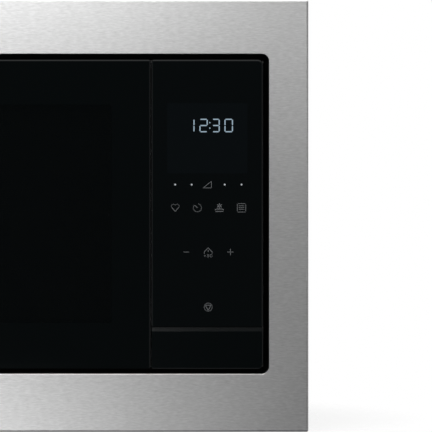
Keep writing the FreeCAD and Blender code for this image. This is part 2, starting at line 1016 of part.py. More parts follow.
choke_x = (cavity_left - S.choke_left, cavity_right + S.choke_right)
choke_z = (floor - S.choke_height, ceiling + S.choke_height)
screen_x = (cavity_left + S.screen_inset, cavity_right - S.screen_inset)
screen_z = (floor + S.screen_inset, ceiling - S.screen_inset)


def make_door_panel():
    sheet_size = S.cavity_sheet
    base = box("door_panel_base", choke_x, (panel_floor, panel_floor + sheet_size), choke_z)
    rise = (panel_floor, S.choke_rise)
    outer = ring("door_panel_edge", choke_x, rise, choke_z, sheet_size)
    inner = ring(
        "door_panel_step",
        (screen_x[0] - sheet_size, screen_x[1] + sheet_size), rise,
        (screen_z[0] - sheet_size, screen_z[1] + sheet_size), sheet_size,
    )
    return fuse("door_panel", base, outer, inner)


# Choke cover: a plastic ring that closes the channel, with slots for the two hooks

cover_y = (S.choke_rise, S.choke_rise + S.choke_cover_thickness)


def make_choke_cover():
    edge = S.choke_cover_edge
    inset = S.screen_inset
    block = box(
        "choke_cover_block",
        (door_left + S.choke_cover_left, door_right - edge), cover_y,
        (door_bottom + edge, door_top - edge),
    )
    window = box(
        "choke_cover_window",
        (screen_x[0] + inset, screen_x[1] - inset), (cover_y[0] - PAST, cover_y[1] + PAST),
        (screen_z[0] + inset, screen_z[1] - inset),
    )
    slots = [
        box(
            f"choke_cover_slot_{number}",
            (hook_x - hook_half - S.slide_clearance, hook_x + S.nose_width),
            (cover_y[0] - PAST, cover_y[1] + PAST),
            (level - S.nose_drop - S.hook_clearance, level + S.hook_height + S.nose_length),
        )
        for number, level in enumerate((hook_low, hook_high))
    ]
    return cut("choke_cover", block, window, *slots)


def make_inner_window():
    clear = S.slide_clearance
    return box(
        "inner_window",
        (screen_x[0] + clear, screen_x[1] - clear),
        (S.choke_rise - S.inner_window_thickness, S.choke_rise),
        (screen_z[0] + clear, screen_z[1] - clear),
    )


# Latch bar: a sliding plastic bar in the door with two hooks that drop behind the ledges of the latch board

hook_end = plate_back + S.hook_reach
nose_start = hook_end - S.nose_length


def make_hook(label, level, nose_x):
    """An arm with a nose that points down and is sloped at its tip, so that it rides over the ledge."""
    body = new_body(label)
    pad(
        body, "x", (hook_x - hook_half, hook_x + hook_half),
        [
            (latch_y[1] - S.hook_root, level), (nose_start, level), (nose_start, level - S.nose_drop),
            (nose_start + S.nose_length / 2, level - S.nose_drop), (hook_end, level + S.hook_height / 2),
            (hook_end, level + S.hook_height), (latch_y[1] - S.hook_root, level + S.hook_height),
        ],
    )
    pad(
        body, "x", nose_x,
        [
            (nose_start, level + S.nose_drop), (nose_start, level - S.nose_drop),
            (nose_start + S.nose_length / 2, level - S.nose_drop), (hook_end, level + S.hook_height / 2),
        ],
    )
    return body


def make_door_latch():
    bar = box("latch_bar", (hook_x - hook_half, hook_x + hook_half), latch_y, (latch_bottom, latch_top))
    nose_x = (hook_x - hook_half, hook_x + S.nose_width - hook_half)
    low = make_hook("latch_hook_low", hook_low, nose_x)
    high = make_hook("latch_hook_high", hook_high, nose_x)
    return fuse("door_latch", bar, low, high)


# Coil springs: one wire along quarter-turn arcs of a helix

def coil_points(radius, pitch, turns):
    steps = 8 * turns
    for step in range(steps + 1):
        angle = 2 * math.pi * step / 8
        yield FreeCAD.Vector(
            radius * math.cos(angle), radius * math.sin(angle), pitch * turns * step / steps
        )


def make_coil(label, axis, centre, span):
    radius = S.spring_radius.value - S.spring_wire.value / 2
    wire = S.spring_wire.value / 2
    turns = int(S.spring_turns.value)
    length = span[1].value - span[0].value - 2 * wire
    pitch = length / turns
    points = list(coil_points(radius, pitch, turns))
    arcs = [
        Part.Arc(points[n], points[n + 1], points[n + 2]).toShape() for n in range(0, len(points) - 2, 2)
    ]
    path = Part.Wire(arcs)
    start = arcs[0].tangentAt(arcs[0].FirstParameter)
    section = Part.Wire(Part.Circle(points[0], start, wire).toShape())
    shell = Part.BRepOffsetAPI.MakePipeShell(path)
    shell.add(section)
    shell.build()
    shell.makeSolid()
    coil = doc.addObject("Part::Feature", label)
    solid = shell.shape()
    coil.Shape = solid
    place_of = {name: size.value for name, size in zip([n for n in "xyz" if n != axis], centre)}
    place_of[axis] = span[0].value + wire
    coil.Placement = FreeCAD.Placement(
        FreeCAD.Vector(place_of["x"], place_of["y"], place_of["z"]), TURNS[axis]
    )
    print(label, "gap between turns", round(pitch - 2 * wire, 2))
    return coil


def make_latch_spring():
    gap = S.gap_clearance
    low = latch_bottom - S.latch_bar_overhang - S.spring_wire
    return make_coil(
        "latch_spring", "z", (hook_x, (latch_y[0] + latch_y[1]) / 2), (low + gap, latch_bottom - gap)
    )


# Control panel: a housing behind the glass and the button, with the display, the board and the button's arm

housing_x = (panel_left + S.door_inset, panel_right - S.door_inset)
housing_z = (door_bottom + S.door_inset, door_top - S.door_inset)
housing_floor = plate_front - S.panel_wall
cable_z = (housing_z[1] - S.cable_slot_low, housing_z[1] - S.cable_slot_high)
rod_x = (housing_x[0] + S.panel_wall + S.rod_inset, housing_x[0] + S.panel_wall + S.rod_inset + S.rod_width)
lever_z = hook_low - S.nose_drop - S.gap_clearance - S.lever_finger_radius
lever_y = nose_start + S.nose_length / 4 + S.lever_finger_reach
push_z = lever_z + S.lever_push_height
rod_z = (push_z - S.rod_height / 2, push_z + S.rod_height / 2)
rod_end = lever_y - S.lever_finger_radius - S.gap_clearance
arm_back = housing_floor - S.button_travel - S.rod_width / 2
arm_y = (arm_back - S.rod_width, arm_back)
skirt_back = glass_front + S.button_skirt
button_x = (panel_left, panel_right)
button_spring_x = (panel_left + panel_right) / 2
button_spring_z = (door_bottom + button_top) / 2


def make_panel_housing():
    wall = S.panel_wall
    clear = S.slide_clearance
    block = box("housing_block", housing_x, (glass_back, plate_front), housing_z)
    inner_x = (housing_x[0] + wall, housing_x[1] - wall)
    shelf = (panel_bottom, panel_bottom + wall)
    upper = box("housing_upper", inner_x, (glass_back - PAST, housing_floor), (shelf[1], housing_z[1] - wall))
    lower = box(
        "housing_lower", (housing_x[0] - PAST, housing_x[1] + PAST),
        (glass_back - PAST, skirt_back + S.button_travel + PAST), (housing_z[0] - PAST, shelf[0]),
    )
    lower_back = box("housing_lower_back", inner_x, (skirt_back + S.button_travel + PAST, housing_floor),
                     (housing_z[0] + wall, shelf[0]))
    slot = box("housing_slot", (rod_x[0] - clear, rod_x[1] + clear), (arm_y[0] - clear, housing_floor),
               (shelf[0], shelf[1]))
    port = box("housing_port", (rod_x[0] - clear, rod_x[1] + clear), (housing_floor, plate_front + PAST),
               (rod_z[0] - clear, rod_z[1] + clear))
    cable = box(
        "housing_cable", (button_spring_x, inner_x[1] - wall), (housing_floor, plate_front + PAST), cable_z,
    )
    return cut("panel_housing", block, upper, lower, lower_back, slot, port, cable)


def make_open_button():
    """A cap with a sloped upper edge, hollow behind, and an arm that carries a push rod up to the lever."""
    body = new_body("button_cap")
    outer, inner = S.glass_corner_outer, S.glass_corner_inner
    pad(
        body, "y", (glass_front, skirt_back),
        rounded(button_x, (door_bottom, button_top), inner, outer, inner, inner),
    )
    top = button_top
    pocket(
        body, "x", (panel_left - PAST, panel_right + PAST),
        [(glass_front, top + PAST), (glass_front, top - S.button_bevel),
         (glass_front + S.button_bevel_depth, top), (glass_front + S.button_bevel_depth, top + PAST)],
    )
    dress(
        body, "Chamfer", "Size", S.glass_bevel / 2,
        lambda edge: lies_at(edge, "y", glass_front)
        and edge.BoundBox.ZMax < top.value - S.button_bevel.value - PAST,
    )
    wall = S.button_wall
    pocket(
        body, "y", (glass_front + 2 * wall, skirt_back),
        rectangle((panel_left + wall, panel_right - wall), (door_bottom + wall, button_top - wall)),
    )
    inside = (glass_front + 2 * wall - PAST, arm_y[1])
    foot = box("button_foot", rod_x, inside, (button_spring_z, button_spring_z + S.rod_height))
    arm = box("button_arm", rod_x, arm_y, (button_spring_z, rod_z[1]))
    push = box("button_rod", rod_x, (arm_y[0], rod_end), rod_z)
    stub = rod(
        "button_stub", "y", (button_spring_x, button_spring_z), (glass_front + 2 * wall - PAST, skirt_back),
        S.spring_radius - S.spring_wire - S.slide_clearance,
    )
    return fuse("open_button", body, foot, arm, push, stub)


def make_button_spring():
    gap = S.gap_clearance
    return make_coil("button_spring", "y", (button_spring_x, button_spring_z),
                     (glass_front + 2 * S.button_wall + gap, housing_floor - gap))


panel_height = door_top - panel_bottom
display_top = door_top - S.display_top_share * panel_height
display_z = (display_top - S.display_height_share * panel_height, display_top)
display_y = (glass_back, glass_back + S.display_depth)
board_y = (display_y[1], display_y[1] + S.board_thickness)
panel_middle = (panel_left + panel_right) / 2


def make_display_module():
    half = S.display_width / 2
    return box("display_module", (panel_middle - half, panel_middle + half), display_y, display_z)


def make_control_board():
    """A circuit board with a soft contact behind each touch key, a relay and two terminal blocks."""
    margin = S.board_margin
    board = box("board_plate", (panel_left + margin, panel_right - margin), board_y,
                (panel_bottom + margin, door_top - margin))
    pieces = [board]
    first = door_top - S.key_top_share * panel_height
    row_pitch = S.key_row_share * panel_height
    rows = [(0, (-1.5, -0.5, 0.5, 1.5)), (1, (-1, 0, 1)), (2.5, (0,))]
    for drop, columns in rows:
        for column in columns:
            pieces.append(rod(
                f"key_contact_{len(pieces)}", "y",
                (panel_middle + column * S.key_pitch, first - drop * row_pitch),
                (glass_back, board_y[0] + S.solder_depth), S.key_radius,
            ))
    relay_z = panel_bottom + 4 * margin
    relay_x = panel_right - 2 * margin
    pieces.append(
        box(
            "board_relay", (relay_x - S.relay_width, relay_x),
            (board_y[1] - S.solder_depth, board_y[1] + S.relay_depth), (relay_z, relay_z + S.relay_length),
        ),
    )
    return fuse("control_board", *pieces)


# Latch board: a moulding behind the front plate with two ledges for the hooks, shelves for the switches
# and the pivot of the release lever

board_x = (bay_left + S.latch_board_wall, panel_left)
ledge_y = (nose_start - S.slide_clearance - S.ledge_length, nose_start - S.slide_clearance)
switch_y = (ledge_y[1] + S.switch_setback, ledge_y[1] + S.switch_setback + S.switch_length)
plunger_y = nose_start + S.plunger_setback
switch_offset = S.nose_drop + S.gap_clearance + S.plunger_height
switch_columns = (hook_x, hook_x + S.switch_width + S.switch_gap)
switch_places = (
    (switch_columns[0], hook_low), (switch_columns[0], hook_high), (switch_columns[1], hook_high),
)


def make_latch_board():
    wall = S.latch_board_wall
    margin = S.latch_board_margin
    face = (plate_back, plate_back + wall)
    base = box("latch_base", board_x, face, (hook_low - margin, hook_high + margin))
    gates = [
        box(
            f"latch_gate_{n}", (hook_x - S.slot_width / 4, board_x[1] + PAST),
            (face[0] - PAST, face[1] + PAST), (level - S.slot_below, level + S.slot_above),
        )
        for n, level in enumerate((hook_low, hook_high))
    ]
    pieces = [cut("latch_face", base, *gates)]
    shelf_ends = (hook_x + S.switch_width / 2 + wall, board_x[1])
    for n, (level, right) in enumerate(zip((hook_low, hook_high), shelf_ends)):
        shelf = level - switch_offset - S.switch_height
        pieces += [
            box(f"latch_shelf_{n}", (board_x[0], right), (face[0], switch_y[1]), (shelf - wall, shelf)),
            box(
                f"latch_cheek_{n}", (board_x[0], board_x[0] + wall), (face[0], switch_y[1]),
                (shelf - wall, level),
            ),
            box(f"latch_ledge_{n}", (board_x[0], right), ledge_y, (shelf - wall, level - S.gap_clearance)),
        ]
    pieces.append(
        rod(
            "latch_pivot", "x", (lever_y, lever_z), (shelf_ends[0] - wall, board_x[1]),
            S.lever_pivot_radius,
        ),
    )
    pivot_wall = box(
        "latch_pivot_wall", (shelf_ends[0] - wall, shelf_ends[0]), (hook_end + wall, lever_y + 2 * wall),
        (hook_low - switch_offset - S.switch_height, lever_z + 2 * wall),
    )
    return fuse("latch_board", *pieces, pivot_wall)


def make_microswitches():
    """Three snap switches, each with two blade terminals at the back."""
    switches = []
    half = S.switch_width / 2 - S.switch_fit
    for n, (x, level) in enumerate(switch_places):
        top = level - switch_offset
        case = box(f"switch_case_{n}", (x - half, x + half), switch_y, (top - S.switch_height, top))
        blades = [
            box(
                f"switch_blade_{n}_{k}", (x - half / 2, x + half / 2),
                (switch_y[1] - PAST, switch_y[1] + S.blade_length),
                (top - share * S.switch_height, top - share * S.switch_height + S.blade_sheet),
            )
            for k, share in enumerate((S.blade_low, S.blade_high))
        ]
        socket = rod(f"switch_socket_{n}", "z", (x, plunger_y), (top - S.plunger_socket, top + PAST),
                     S.plunger_radius + S.running_clearance)
        switches.append(cut(f"switch_{n}", fuse(f"switch_body_{n}", case, *blades), socket))
    return group("microswitches", *switches)


def make_switch_plungers():
    pins = []
    for n, (x, level) in enumerate(switch_places):
        top = level - S.nose_drop - S.gap_clearance
        pins.append(rod(f"plunger_{n}", "z", (x, plunger_y), (top - S.plunger_length, top), S.plunger_radius))
    return group("switch_plungers", *pins)


def make_release_lever():
    """A crank on the pivot: the rod pushes its upper peg back and its finger lifts the lower nose."""
    left = hook_x + S.switch_width / 2 + S.latch_board_wall + S.gap_clearance
    plate_x = (left, left + S.lever_thickness)
    radius = S.lever_finger_radius
    eye = S.lever_pivot_radius + radius
    body = new_body("lever_plate")
    finger_y = lever_y - S.lever_finger_reach
    pad(
        body, "x", plate_x,
        [
            (finger_y, lever_z - radius), (lever_y + eye, lever_z - eye), (lever_y + eye, lever_z + eye),
            (lever_y + radius, push_z + radius), (lever_y - radius, push_z + radius),
            (lever_y - radius, lever_z + eye), (lever_y - eye, lever_z + radius),
            (finger_y, lever_z + radius),
        ],
    )
    pocket(body, "x", plate_x, circle((lever_y, lever_z), S.lever_pivot_radius + S.running_clearance))
    finger = rod("lever_finger", "x", (finger_y, lever_z), plate_x, radius)
    peg = rod("lever_peg", "x", (lever_y, push_z), (plate_x[0], rod_x[1]), radius)
    return fuse("release_lever", body, finger, peg)


# Cavity: front plate, wrapped sides and ceiling, floor and back, with vents, waveguide, mica cover and lamp

plate_x = (casing_left - S.casing_sheet, casing_right + S.casing_sheet)
plate_z = (base_bottom, casing_top + S.casing_sheet)
guide_start = plate_front + S.waveguide_share * S.cavity_depth
guide_y = (guide_start, guide_start + S.waveguide_width)
guide_z = (ceiling - S.waveguide_below - S.waveguide_height, ceiling - S.waveguide_below)
vent_top = ceiling - S.vent_below_ceiling
lamp_vent_start = plate_front + S.lamp_vent_share * S.cavity_depth
lamp_vent_y = (lamp_vent_start, lamp_vent_start + S.lamp_vent_length_share * S.cavity_depth)
lamp_vent_z = (vent_top - S.lamp_vent_height, vent_top)
lamp_y = (lamp_vent_y[0], lamp_vent_y[0] + S.lamp_length)
exhaust_y = (cavity_back - S.exhaust_setback, cavity_back - S.exhaust_setback + S.exhaust_length)
exhaust_z = (vent_top - S.exhaust_height, vent_top)


def make_front_plate():
    face = (plate_front - PAST, plate_back + PAST)
    clear = S.slide_clearance
    block = box("plate_block", plate_x, (plate_front, plate_back), plate_z)
    mouth = box("plate_mouth", (cavity_left, cavity_right), face, (floor, ceiling))
    gates = [
        box(
            f"plate_gate_{n}", (hook_x - S.slot_width / 4, door_right), face,
            (level - S.slot_below, level + S.slot_above),
        )
        for n, level in enumerate((hook_low, hook_high))
    ]
    port = box("plate_port", (rod_x[0] - clear, rod_x[1] + clear), face, (rod_z[0] - clear, rod_z[1] + clear))
    cable = box("plate_cable", (button_spring_x, housing_x[1] - 2 * S.panel_wall), face, cable_z)
    holes = [
        rod(f"plate_screw_{n}", "y", spot, face, S.screw_radius + S.screw_clearance)
        for n, spot in enumerate(hinge_screw_places())
    ]
    return cut("front_plate", block, mouth, *gates, port, cable, *holes)


def make_cavity_wrap():
    wall = S.cavity_sheet
    depth = (plate_back, cavity_back)
    outer = box(
        "wrap_outer", (cavity_left - wall, cavity_right + wall), depth, (floor - wall, ceiling + wall),
    )
    inner = box(
        "wrap_inner", (cavity_left, cavity_right), (plate_back - PAST, cavity_back + PAST),
        (floor - 2 * PAST, ceiling),
    )
    right = (cavity_right - PAST, cavity_right + 2 * PAST)
    edge = S.mica_overlap
    window = box(
        "wrap_window", right, (guide_y[0] + edge, guide_y[1] - edge),
        (guide_z[0] + edge, guide_z[1] - edge),
    )
    lamp = box("wrap_lamp", right, lamp_vent_y, lamp_vent_z)
    exhaust = box("wrap_exhaust", (cavity_left - 2 * PAST, cavity_left + PAST), exhaust_y, exhaust_z)
    return cut("cavity_wrap", cut("wrap_shell", outer, inner), window, lamp, exhaust)


def make_vent_plate(label, x, y, z, columns, rows):
    """A plate set in the cavity wall, with a grid of round holes."""
    plate = box(f"{label}_plate", x, y, z)
    columns, rows = int(columns.value), int(rows.value)
    column_pitch = (y[1] - y[0]) / columns
    row_pitch = (z[1] - z[0]) / rows
    holes = [
        rod(f"{label}_hole_{c}_{r}", "x", (y[0] + (c + 0.5) * column_pitch, z[0] + (r + 0.5) * row_pitch),
            (x[0] - PAST, x[1] + PAST), S.vent_hole_radius)
        for c in range(columns) for r in range(rows)
    ]
    return cut(label, plate, *holes)


def make_cavity_vents():
    wall = S.cavity_sheet
    lamp = make_vent_plate(
        "lamp_vent", (cavity_right, cavity_right + wall), lamp_vent_y, lamp_vent_z,
        S.lamp_vent_columns, S.lamp_vent_rows,
    )
    exhaust = make_vent_plate(
        "exhaust_vent", (cavity_left - wall, cavity_left), exhaust_y, exhaust_z,
        S.exhaust_columns, S.exhaust_rows,
    )
    return group("cavity_vents", lamp, exhaust)


def make_cavity_floor():
    plate = box(
        "floor_plate", (cavity_left, cavity_right), (plate_back, cavity_back),
        (floor - S.cavity_sheet, floor),
    )
    hole = rod(
        "floor_hole", "z", (cavity_middle, turn_centre), (floor - 2 * PAST, floor + PAST),
        2 * S.shaft_radius,
    )
    return cut("cavity_floor", plate, hole)


def make_cavity_back():
    wall = S.cavity_sheet
    return box("cavity_back", (cavity_left - wall, cavity_right + wall), (cavity_back, cavity_back + wall),
               (floor - wall, ceiling + wall))


def make_waveguide():
    wall = S.cavity_sheet
    x = (bay_left, bay_left + S.waveguide_depth)
    block = box("guide_block", x, guide_y, guide_z)
    inner = box("guide_inner", (x[0] - PAST, x[1] - wall), (guide_y[0] + wall, guide_y[1] - wall),
                (guide_z[0] + wall, guide_z[1] - wall))
    port = rod("guide_port", "x", ((guide_y[0] + guide_y[1]) / 2, (guide_z[0] + guide_z[1]) / 2),
               (x[1] - wall, x[1] + PAST), S.antenna_radius + S.port_clearance)
    return cut("waveguide", block, inner, port)


def make_waveguide_cover():
    edge = S.mica_overlap / 2
    return box("waveguide_cover", (cavity_right - S.mica_thickness, cavity_right),
               (guide_y[0] + edge, guide_y[1] - edge), (guide_z[0] + edge, guide_z[1] - edge))


def make_oven_lamp():
    """A bulb in a plastic holder that stands on the cavity wall round the lamp vent."""
    y_middle = (lamp_y[0] + lamp_y[1]) / 2
    z_middle = (lamp_vent_z[0] + lamp_vent_z[1]) / 2
    edge = S.mica_overlap / 2
    x = (bay_left, bay_left + S.lamp_depth)
    block = box(
        "lamp_block", x, (lamp_y[0] - edge, lamp_y[1] + edge),
        (lamp_vent_z[0] - edge, lamp_vent_z[1] + edge),
    )
    hollow = box("lamp_hollow", (x[0] - PAST, x[1] - S.latch_board_wall), lamp_y, lamp_vent_z)
    holder = cut("lamp_holder", block, hollow)
    bulb = fuse(
        "lamp_bulb",
        rod(
            "lamp_base", "x", (y_middle, z_middle), (x[0] + S.lamp_base_start, x[1] - S.latch_board_wall),
            S.lamp_base_radius,
        ),
        rod(
            "lamp_glass", "x", (y_middle, z_middle),
            (x[0] + S.lamp_glass_start, x[0] + S.lamp_base_start + PAST), S.lamp_glass_radius,
        ),
    )
    return group("oven_lamp", holder, bulb)


# Turntable: motor under the floor, shaft, coupler, glass tray and the ring of rollers that carries it

roller_level = floor + S.gap_clearance + S.roller_radius
tray_bottom = roller_level + S.roller_radius + S.gap_clearance
ring_z = (roller_level - S.ring_thickness / 2, roller_level + S.ring_thickness / 2)
turn_axis = (cavity_middle, turn_centre)
roller_circle = S.ring_radius + S.ring_bar / 2 + S.roller_standoff + S.roller_width / 2
motor_top = floor - S.cavity_sheet


def make_turntable_motor():
    body = new_body("turntable_motor")
    place(body, "z", turn_axis, motor_top - S.motor_height)
    pad(body, "z", (Size.of(0), S.motor_height), circle((0, 0), S.motor_radius))
    ear = S.motor_ear
    half = S.motor_ear_width / 2
    pad(body, "z", (S.motor_height - S.casing_sheet, S.motor_height), rectangle((-ear, ear), (-half, half)))
    pocket(body, "z", (S.motor_height - S.motor_bore_depth, S.motor_height),
           circle((0, 0), S.shaft_radius + S.running_clearance))
    return body


coupler_bottom = floor + 2 * S.gap_clearance


def make_turntable_shaft():
    return rod(
        "turntable_shaft", "z", turn_axis,
        (motor_top - S.motor_bore_depth + S.gap_clearance, tray_bottom - S.coupler_roof), S.shaft_radius,
    )


def make_turntable_coupler():
    """A hub with three lobes that drive the ribs under the tray."""
    hub = rod("coupler_hub", "z", turn_axis, (coupler_bottom, tray_bottom), S.coupler_radius)
    lobes = []
    for n in range(3):
        angle = math.radians(120 * n + 60)
        centre = (
            cavity_middle + S.coupler_radius * math.cos(angle),
            turn_centre + S.coupler_radius * math.sin(angle),
        )
        lobes.append(rod(f"coupler_lobe_{n}", "z", centre, (coupler_bottom, tray_bottom), S.coupler_lobe))
    bore = rod(
        "coupler_bore", "z", turn_axis, (coupler_bottom - PAST, tray_bottom - S.coupler_roof),
        S.shaft_radius,
    )
    return cut("turntable_coupler", fuse("coupler_star", hub, *lobes), bore)


def make_glass_tray():
    """A pressed glass tray with a raised rim and three ribs below, which the coupler's lobes drive."""
    body = new_body("tray_disc")
    place(body, "z", turn_axis, tray_bottom)
    thick = S.tray_thickness
    rim = S.tray_radius
    well = rim - S.tray_rim_width
    revolve(
        body,
        [
            (0, 0), (well, 0), (rim - thick / 2, S.tray_rim - thick / 2), (rim, S.tray_rim - thick / 2),
            (rim, S.tray_rim), (rim - thick, S.tray_rim), (well - thick / 2, thick), (0, thick),
        ],
    )
    dress(body, "Fillet", "Radius", S.tray_fillet, lambda edge: edge.BoundBox.XLength > 2 * well.value - PAST)
    ribs = []
    for n in range(3):
        rib = rod(
            f"tray_rib_{n}", "x", (0, tray_bottom), (S.tray_rib_start, S.tray_rib_end), S.tray_rib_radius,
        )
        ribs.append(swing(rib, 120 * n, S.tray_rib_start))
    return fuse("glass_tray", body, *ribs)


def make_roller_ring():
    """A flat ring with three radial axle pins."""
    hoop = tube(
        "ring_hoop", "z", turn_axis, ring_z, S.ring_radius + S.ring_bar / 2, S.ring_radius - S.ring_bar / 2,
    )
    pins = []
    for n in range(3):
        pin = rod(
            f"ring_pin_{n}", "x", (0, roller_level), (S.ring_radius, roller_circle + S.roller_width),
            S.roller_pin_radius,
        )
        pins.append(swing(pin, 120 * n, S.ring_radius))
    return fuse("roller_ring", hoop, *pins)


def swing(item, angle, reach):
    """Turns an item that lies along X about the turntable's axis; reach is where it starts."""
    turn = FreeCAD.Rotation(FreeCAD.Vector(0, 0, 1), angle)
    item.Placement = FreeCAD.Placement(FreeCAD.Vector(), turn * TURNS["x"])
    across, along = math.cos(math.radians(angle)), math.sin(math.radians(angle))
    bind(item, ".Placement.Base.x", cavity_middle + reach * across)
    bind(item, ".Placement.Base.y", turn_centre + reach * along)
    return item


def make_roller(label, angle):
    body = new_body(label)
    start = roller_circle - S.roller_width / 2
    pad(body, "z", (Size.of(0), S.roller_width),
        circle((0, 0), S.roller_radius), circle((0, 0), S.roller_pin_radius + S.running_clearance))
    dress(body, "Chamfer", "Size", S.roller_chamfer,
          lambda edge: edge.BoundBox.XLength > S.roller_radius.value)
    swing(body, angle, start)
    bind(body, ".Placement.Base.z", roller_level)
    return body


# Magnetron: steel yoke on the waveguide, finned anode inside it, antenna in the waveguide, filter box outside

source_x = bay_left + S.waveguide_depth
source_y = (guide_y[0] + guide_y[1]) / 2
source_z = (guide_z[0] + guide_z[1]) / 2
yoke_x = (source_x, source_x + S.magnetron_width)
yoke_y = (source_y - S.magnetron_length / 2, source_y + S.magnetron_length / 2)
yoke_z = (source_z - S.magnetron_height / 2, source_z + S.magnetron_height / 2)


def make_magnetron_yoke():
    """A box open at front and back for the cooling air."""
    wall = S.magnetron_sheet
    block = box("yoke_block", yoke_x, yoke_y, yoke_z)
    hollow = box("yoke_hollow", (yoke_x[0] + wall, yoke_x[1] - wall), (yoke_y[0] - PAST, yoke_y[1] + PAST),
                 (yoke_z[0] + wall, yoke_z[1] - wall))
    port = rod("yoke_port", "x", (source_y, source_z), (yoke_x[0] - PAST, yoke_x[0] + wall), S.antenna_radius)
    return cut("magnetron_yoke", cut("yoke_shell", block, hollow), port)


def make_magnetron_fins():
    wall = S.magnetron_sheet
    span = (yoke_x[0] + wall, yoke_x[1] - wall)
    pitch = (span[1] - span[0]) / (SIZES["fin_count"] + 1)
    pieces = [rod("anode", "x", (source_y, source_z), span, S.anode_radius)]
    for n in range(SIZES["fin_count"]):
        x = span[0] + (n + 1) * pitch
        pieces.append(
            box(
                f"fin_{n}", (x - S.fin_sheet / 2, x + S.fin_sheet / 2),
                (yoke_y[0] + 3 * wall, yoke_y[1] - 3 * wall), (yoke_z[0] + wall, yoke_z[1] - wall),
            ),
        )
    return fuse("magnetron_fins", *pieces)


def make_magnetron_antenna():
    return fuse(
        "magnetron_antenna",
        rod(
            "antenna_post", "x", (source_y, source_z),
            (source_x - S.antenna_length, source_x + S.magnetron_sheet), S.antenna_radius - S.antenna_step,
        ),
        rod(
            "antenna_cap", "x", (source_y, source_z),
            (source_x - S.antenna_length, source_x - S.antenna_length / 2), S.antenna_radius,
        ),
    )


def make_magnetron_filter_box():
    return box(
        "magnetron_filter_box", (yoke_x[1], yoke_x[1] + S.filter_box_depth),
        (yoke_y[0] + S.filter_box_inset, yoke_y[1] - S.filter_box_inset),
        (yoke_z[0] + S.magnetron_sheet, yoke_z[1] - S.magnetron_sheet),
    )


# High-voltage supply on the base: transformer, capacitor in its clamp, and diode

core_x = (bay_left + S.supply_inset, bay_left + S.supply_inset + S.core_width)
core_start = plate_front + S.core_share * S.cavity_depth
core_y = (core_start, core_start + S.core_length)
core_z = (base_top, base_top + S.core_height)


def make_transformer_core():
    limb = S.core_limb
    block = box("core_block", core_x, core_y, core_z)
    middle = (core_y[0] + core_y[1]) / 2
    low = box(
        "core_window_front", (core_x[0] - PAST, core_x[1] + PAST), (core_y[0] + limb, middle - limb),
        (core_z[0] + limb, core_z[1] - limb),
    )
    high = box(
        "core_window_back", (core_x[0] - PAST, core_x[1] + PAST), (middle + limb, core_y[1] - limb),
        (core_z[0] + limb, core_z[1] - limb),
    )
    return cut("transformer_core", block, low, high)


def make_transformer_windings():
    """Two coils, one over the other, round the middle limb."""
    limb, bulge = S.core_limb, S.winding_bulge
    middle = (core_y[0] + core_y[1]) / 2
    window = (core_z[0] + limb, core_z[1] - limb)
    half = (window[1] - window[0]) / 2
    coils = []
    for n, start in enumerate((window[0], window[0] + half)):
        span = (start + S.gap_clearance, start + half - S.gap_clearance)
        block = box(
            f"coil_block_{n}", (core_x[0] - bulge, core_x[1] + bulge), (core_y[0] + limb, core_y[1] - limb),
            span,
        )
        hole = box(f"coil_hole_{n}", core_x, (middle - limb, middle + limb), (span[0] - PAST, span[1] + PAST))
        coils.append(cut(f"coil_{n}", block, hole))
    return group("transformer_windings", *coils)


capacitor_x = (bay_left + S.supply_inset, bay_left + S.supply_inset + S.capacitor_length)
capacitor_start = plate_front + S.capacitor_share * S.cavity_depth
capacitor_y = (capacitor_start, capacitor_start + S.capacitor_width)
capacitor_z = (base_top, base_top + S.capacitor_height)


def make_capacitor():
    body = new_body("capacitor_can")
    radius = S.capacitor_height / 2 - S.capacitor_flat
    pad(body, "x", capacitor_x, rounded(capacitor_y, capacitor_z, radius, radius, radius, radius))
    middle = (capacitor_y[0] + capacitor_y[1]) / 2
    level = (capacitor_z[0] + capacitor_z[1]) / 2
    tags = [
        box(
            f"capacitor_tag_{n}", (capacitor_x[1] - PAST, capacitor_x[1] + S.tag_length),
            (middle + sign * S.tag_offset - S.tag_width / 2, middle + sign * S.tag_offset + S.tag_width / 2),
            (level - S.tag_sheet / 2, level + S.tag_sheet / 2),
        )
        for n, sign in enumerate((-1, 1))
    ]
    return fuse("capacitor", body, *tags)


def make_capacitor_clamp():
    wall = S.clamp_sheet
    middle = (capacitor_x[0] + capacitor_x[1]) / 2
    span = (middle - S.clamp_width / 2, middle + S.clamp_width / 2)
    body = new_body("clamp_strap")
    radius = S.capacitor_height / 2 - S.capacitor_flat
    outer, corner = radius + wall, S.clamp_corner
    pad(body, "x", span,
        rounded((capacitor_y[0] - wall, capacitor_y[1] + wall), (capacitor_z[0], capacitor_z[1] + wall),
                corner, corner, outer, outer))
    pocket(body, "x", span,
           rounded(capacitor_y, (capacitor_z[0] - PAST, capacitor_z[1]), corner, corner, radius, radius))
    foot = box(
        "clamp_foot", span, (capacitor_y[1], capacitor_y[1] + S.clamp_width),
        (capacitor_z[0], capacitor_z[0] + wall),
    )
    return fuse("capacitor_clamp", body, foot)


def make_hv_diode():
    level = base_top + S.diode_radius
    y = capacitor_y[1] + S.clamp_width + 2 * S.diode_radius
    body = rod(
        "diode_body", "x", (y, level), (capacitor_x[0], capacitor_x[0] + S.diode_length), S.diode_radius,
    )
    lead = rod(
        "diode_lead", "x", (y, level),
        (capacitor_x[0] + S.diode_length - PAST, capacitor_x[0] + 2 * S.diode_length), S.diode_lead_radius,
    )
    return fuse("hv_diode", body, lead)


# Cooling fan at the back of the bay: duct on the back panel with a collar, motor on posts, and the blade

fan_x = (bay_left + bay_right) / 2
fan_z = base_top + S.fan_level
fan_y = casing_back - S.fan_setback - S.fan_hub_length
collar_y = (casing_back - S.fan_setback - S.fan_hub_length / 2, casing_back - S.fan_setback)
motor_y = (fan_y - S.fan_motor_gap - S.stator_length, fan_y - S.fan_motor_gap)
post_spot = S.fan_duct_half - S.post_radius


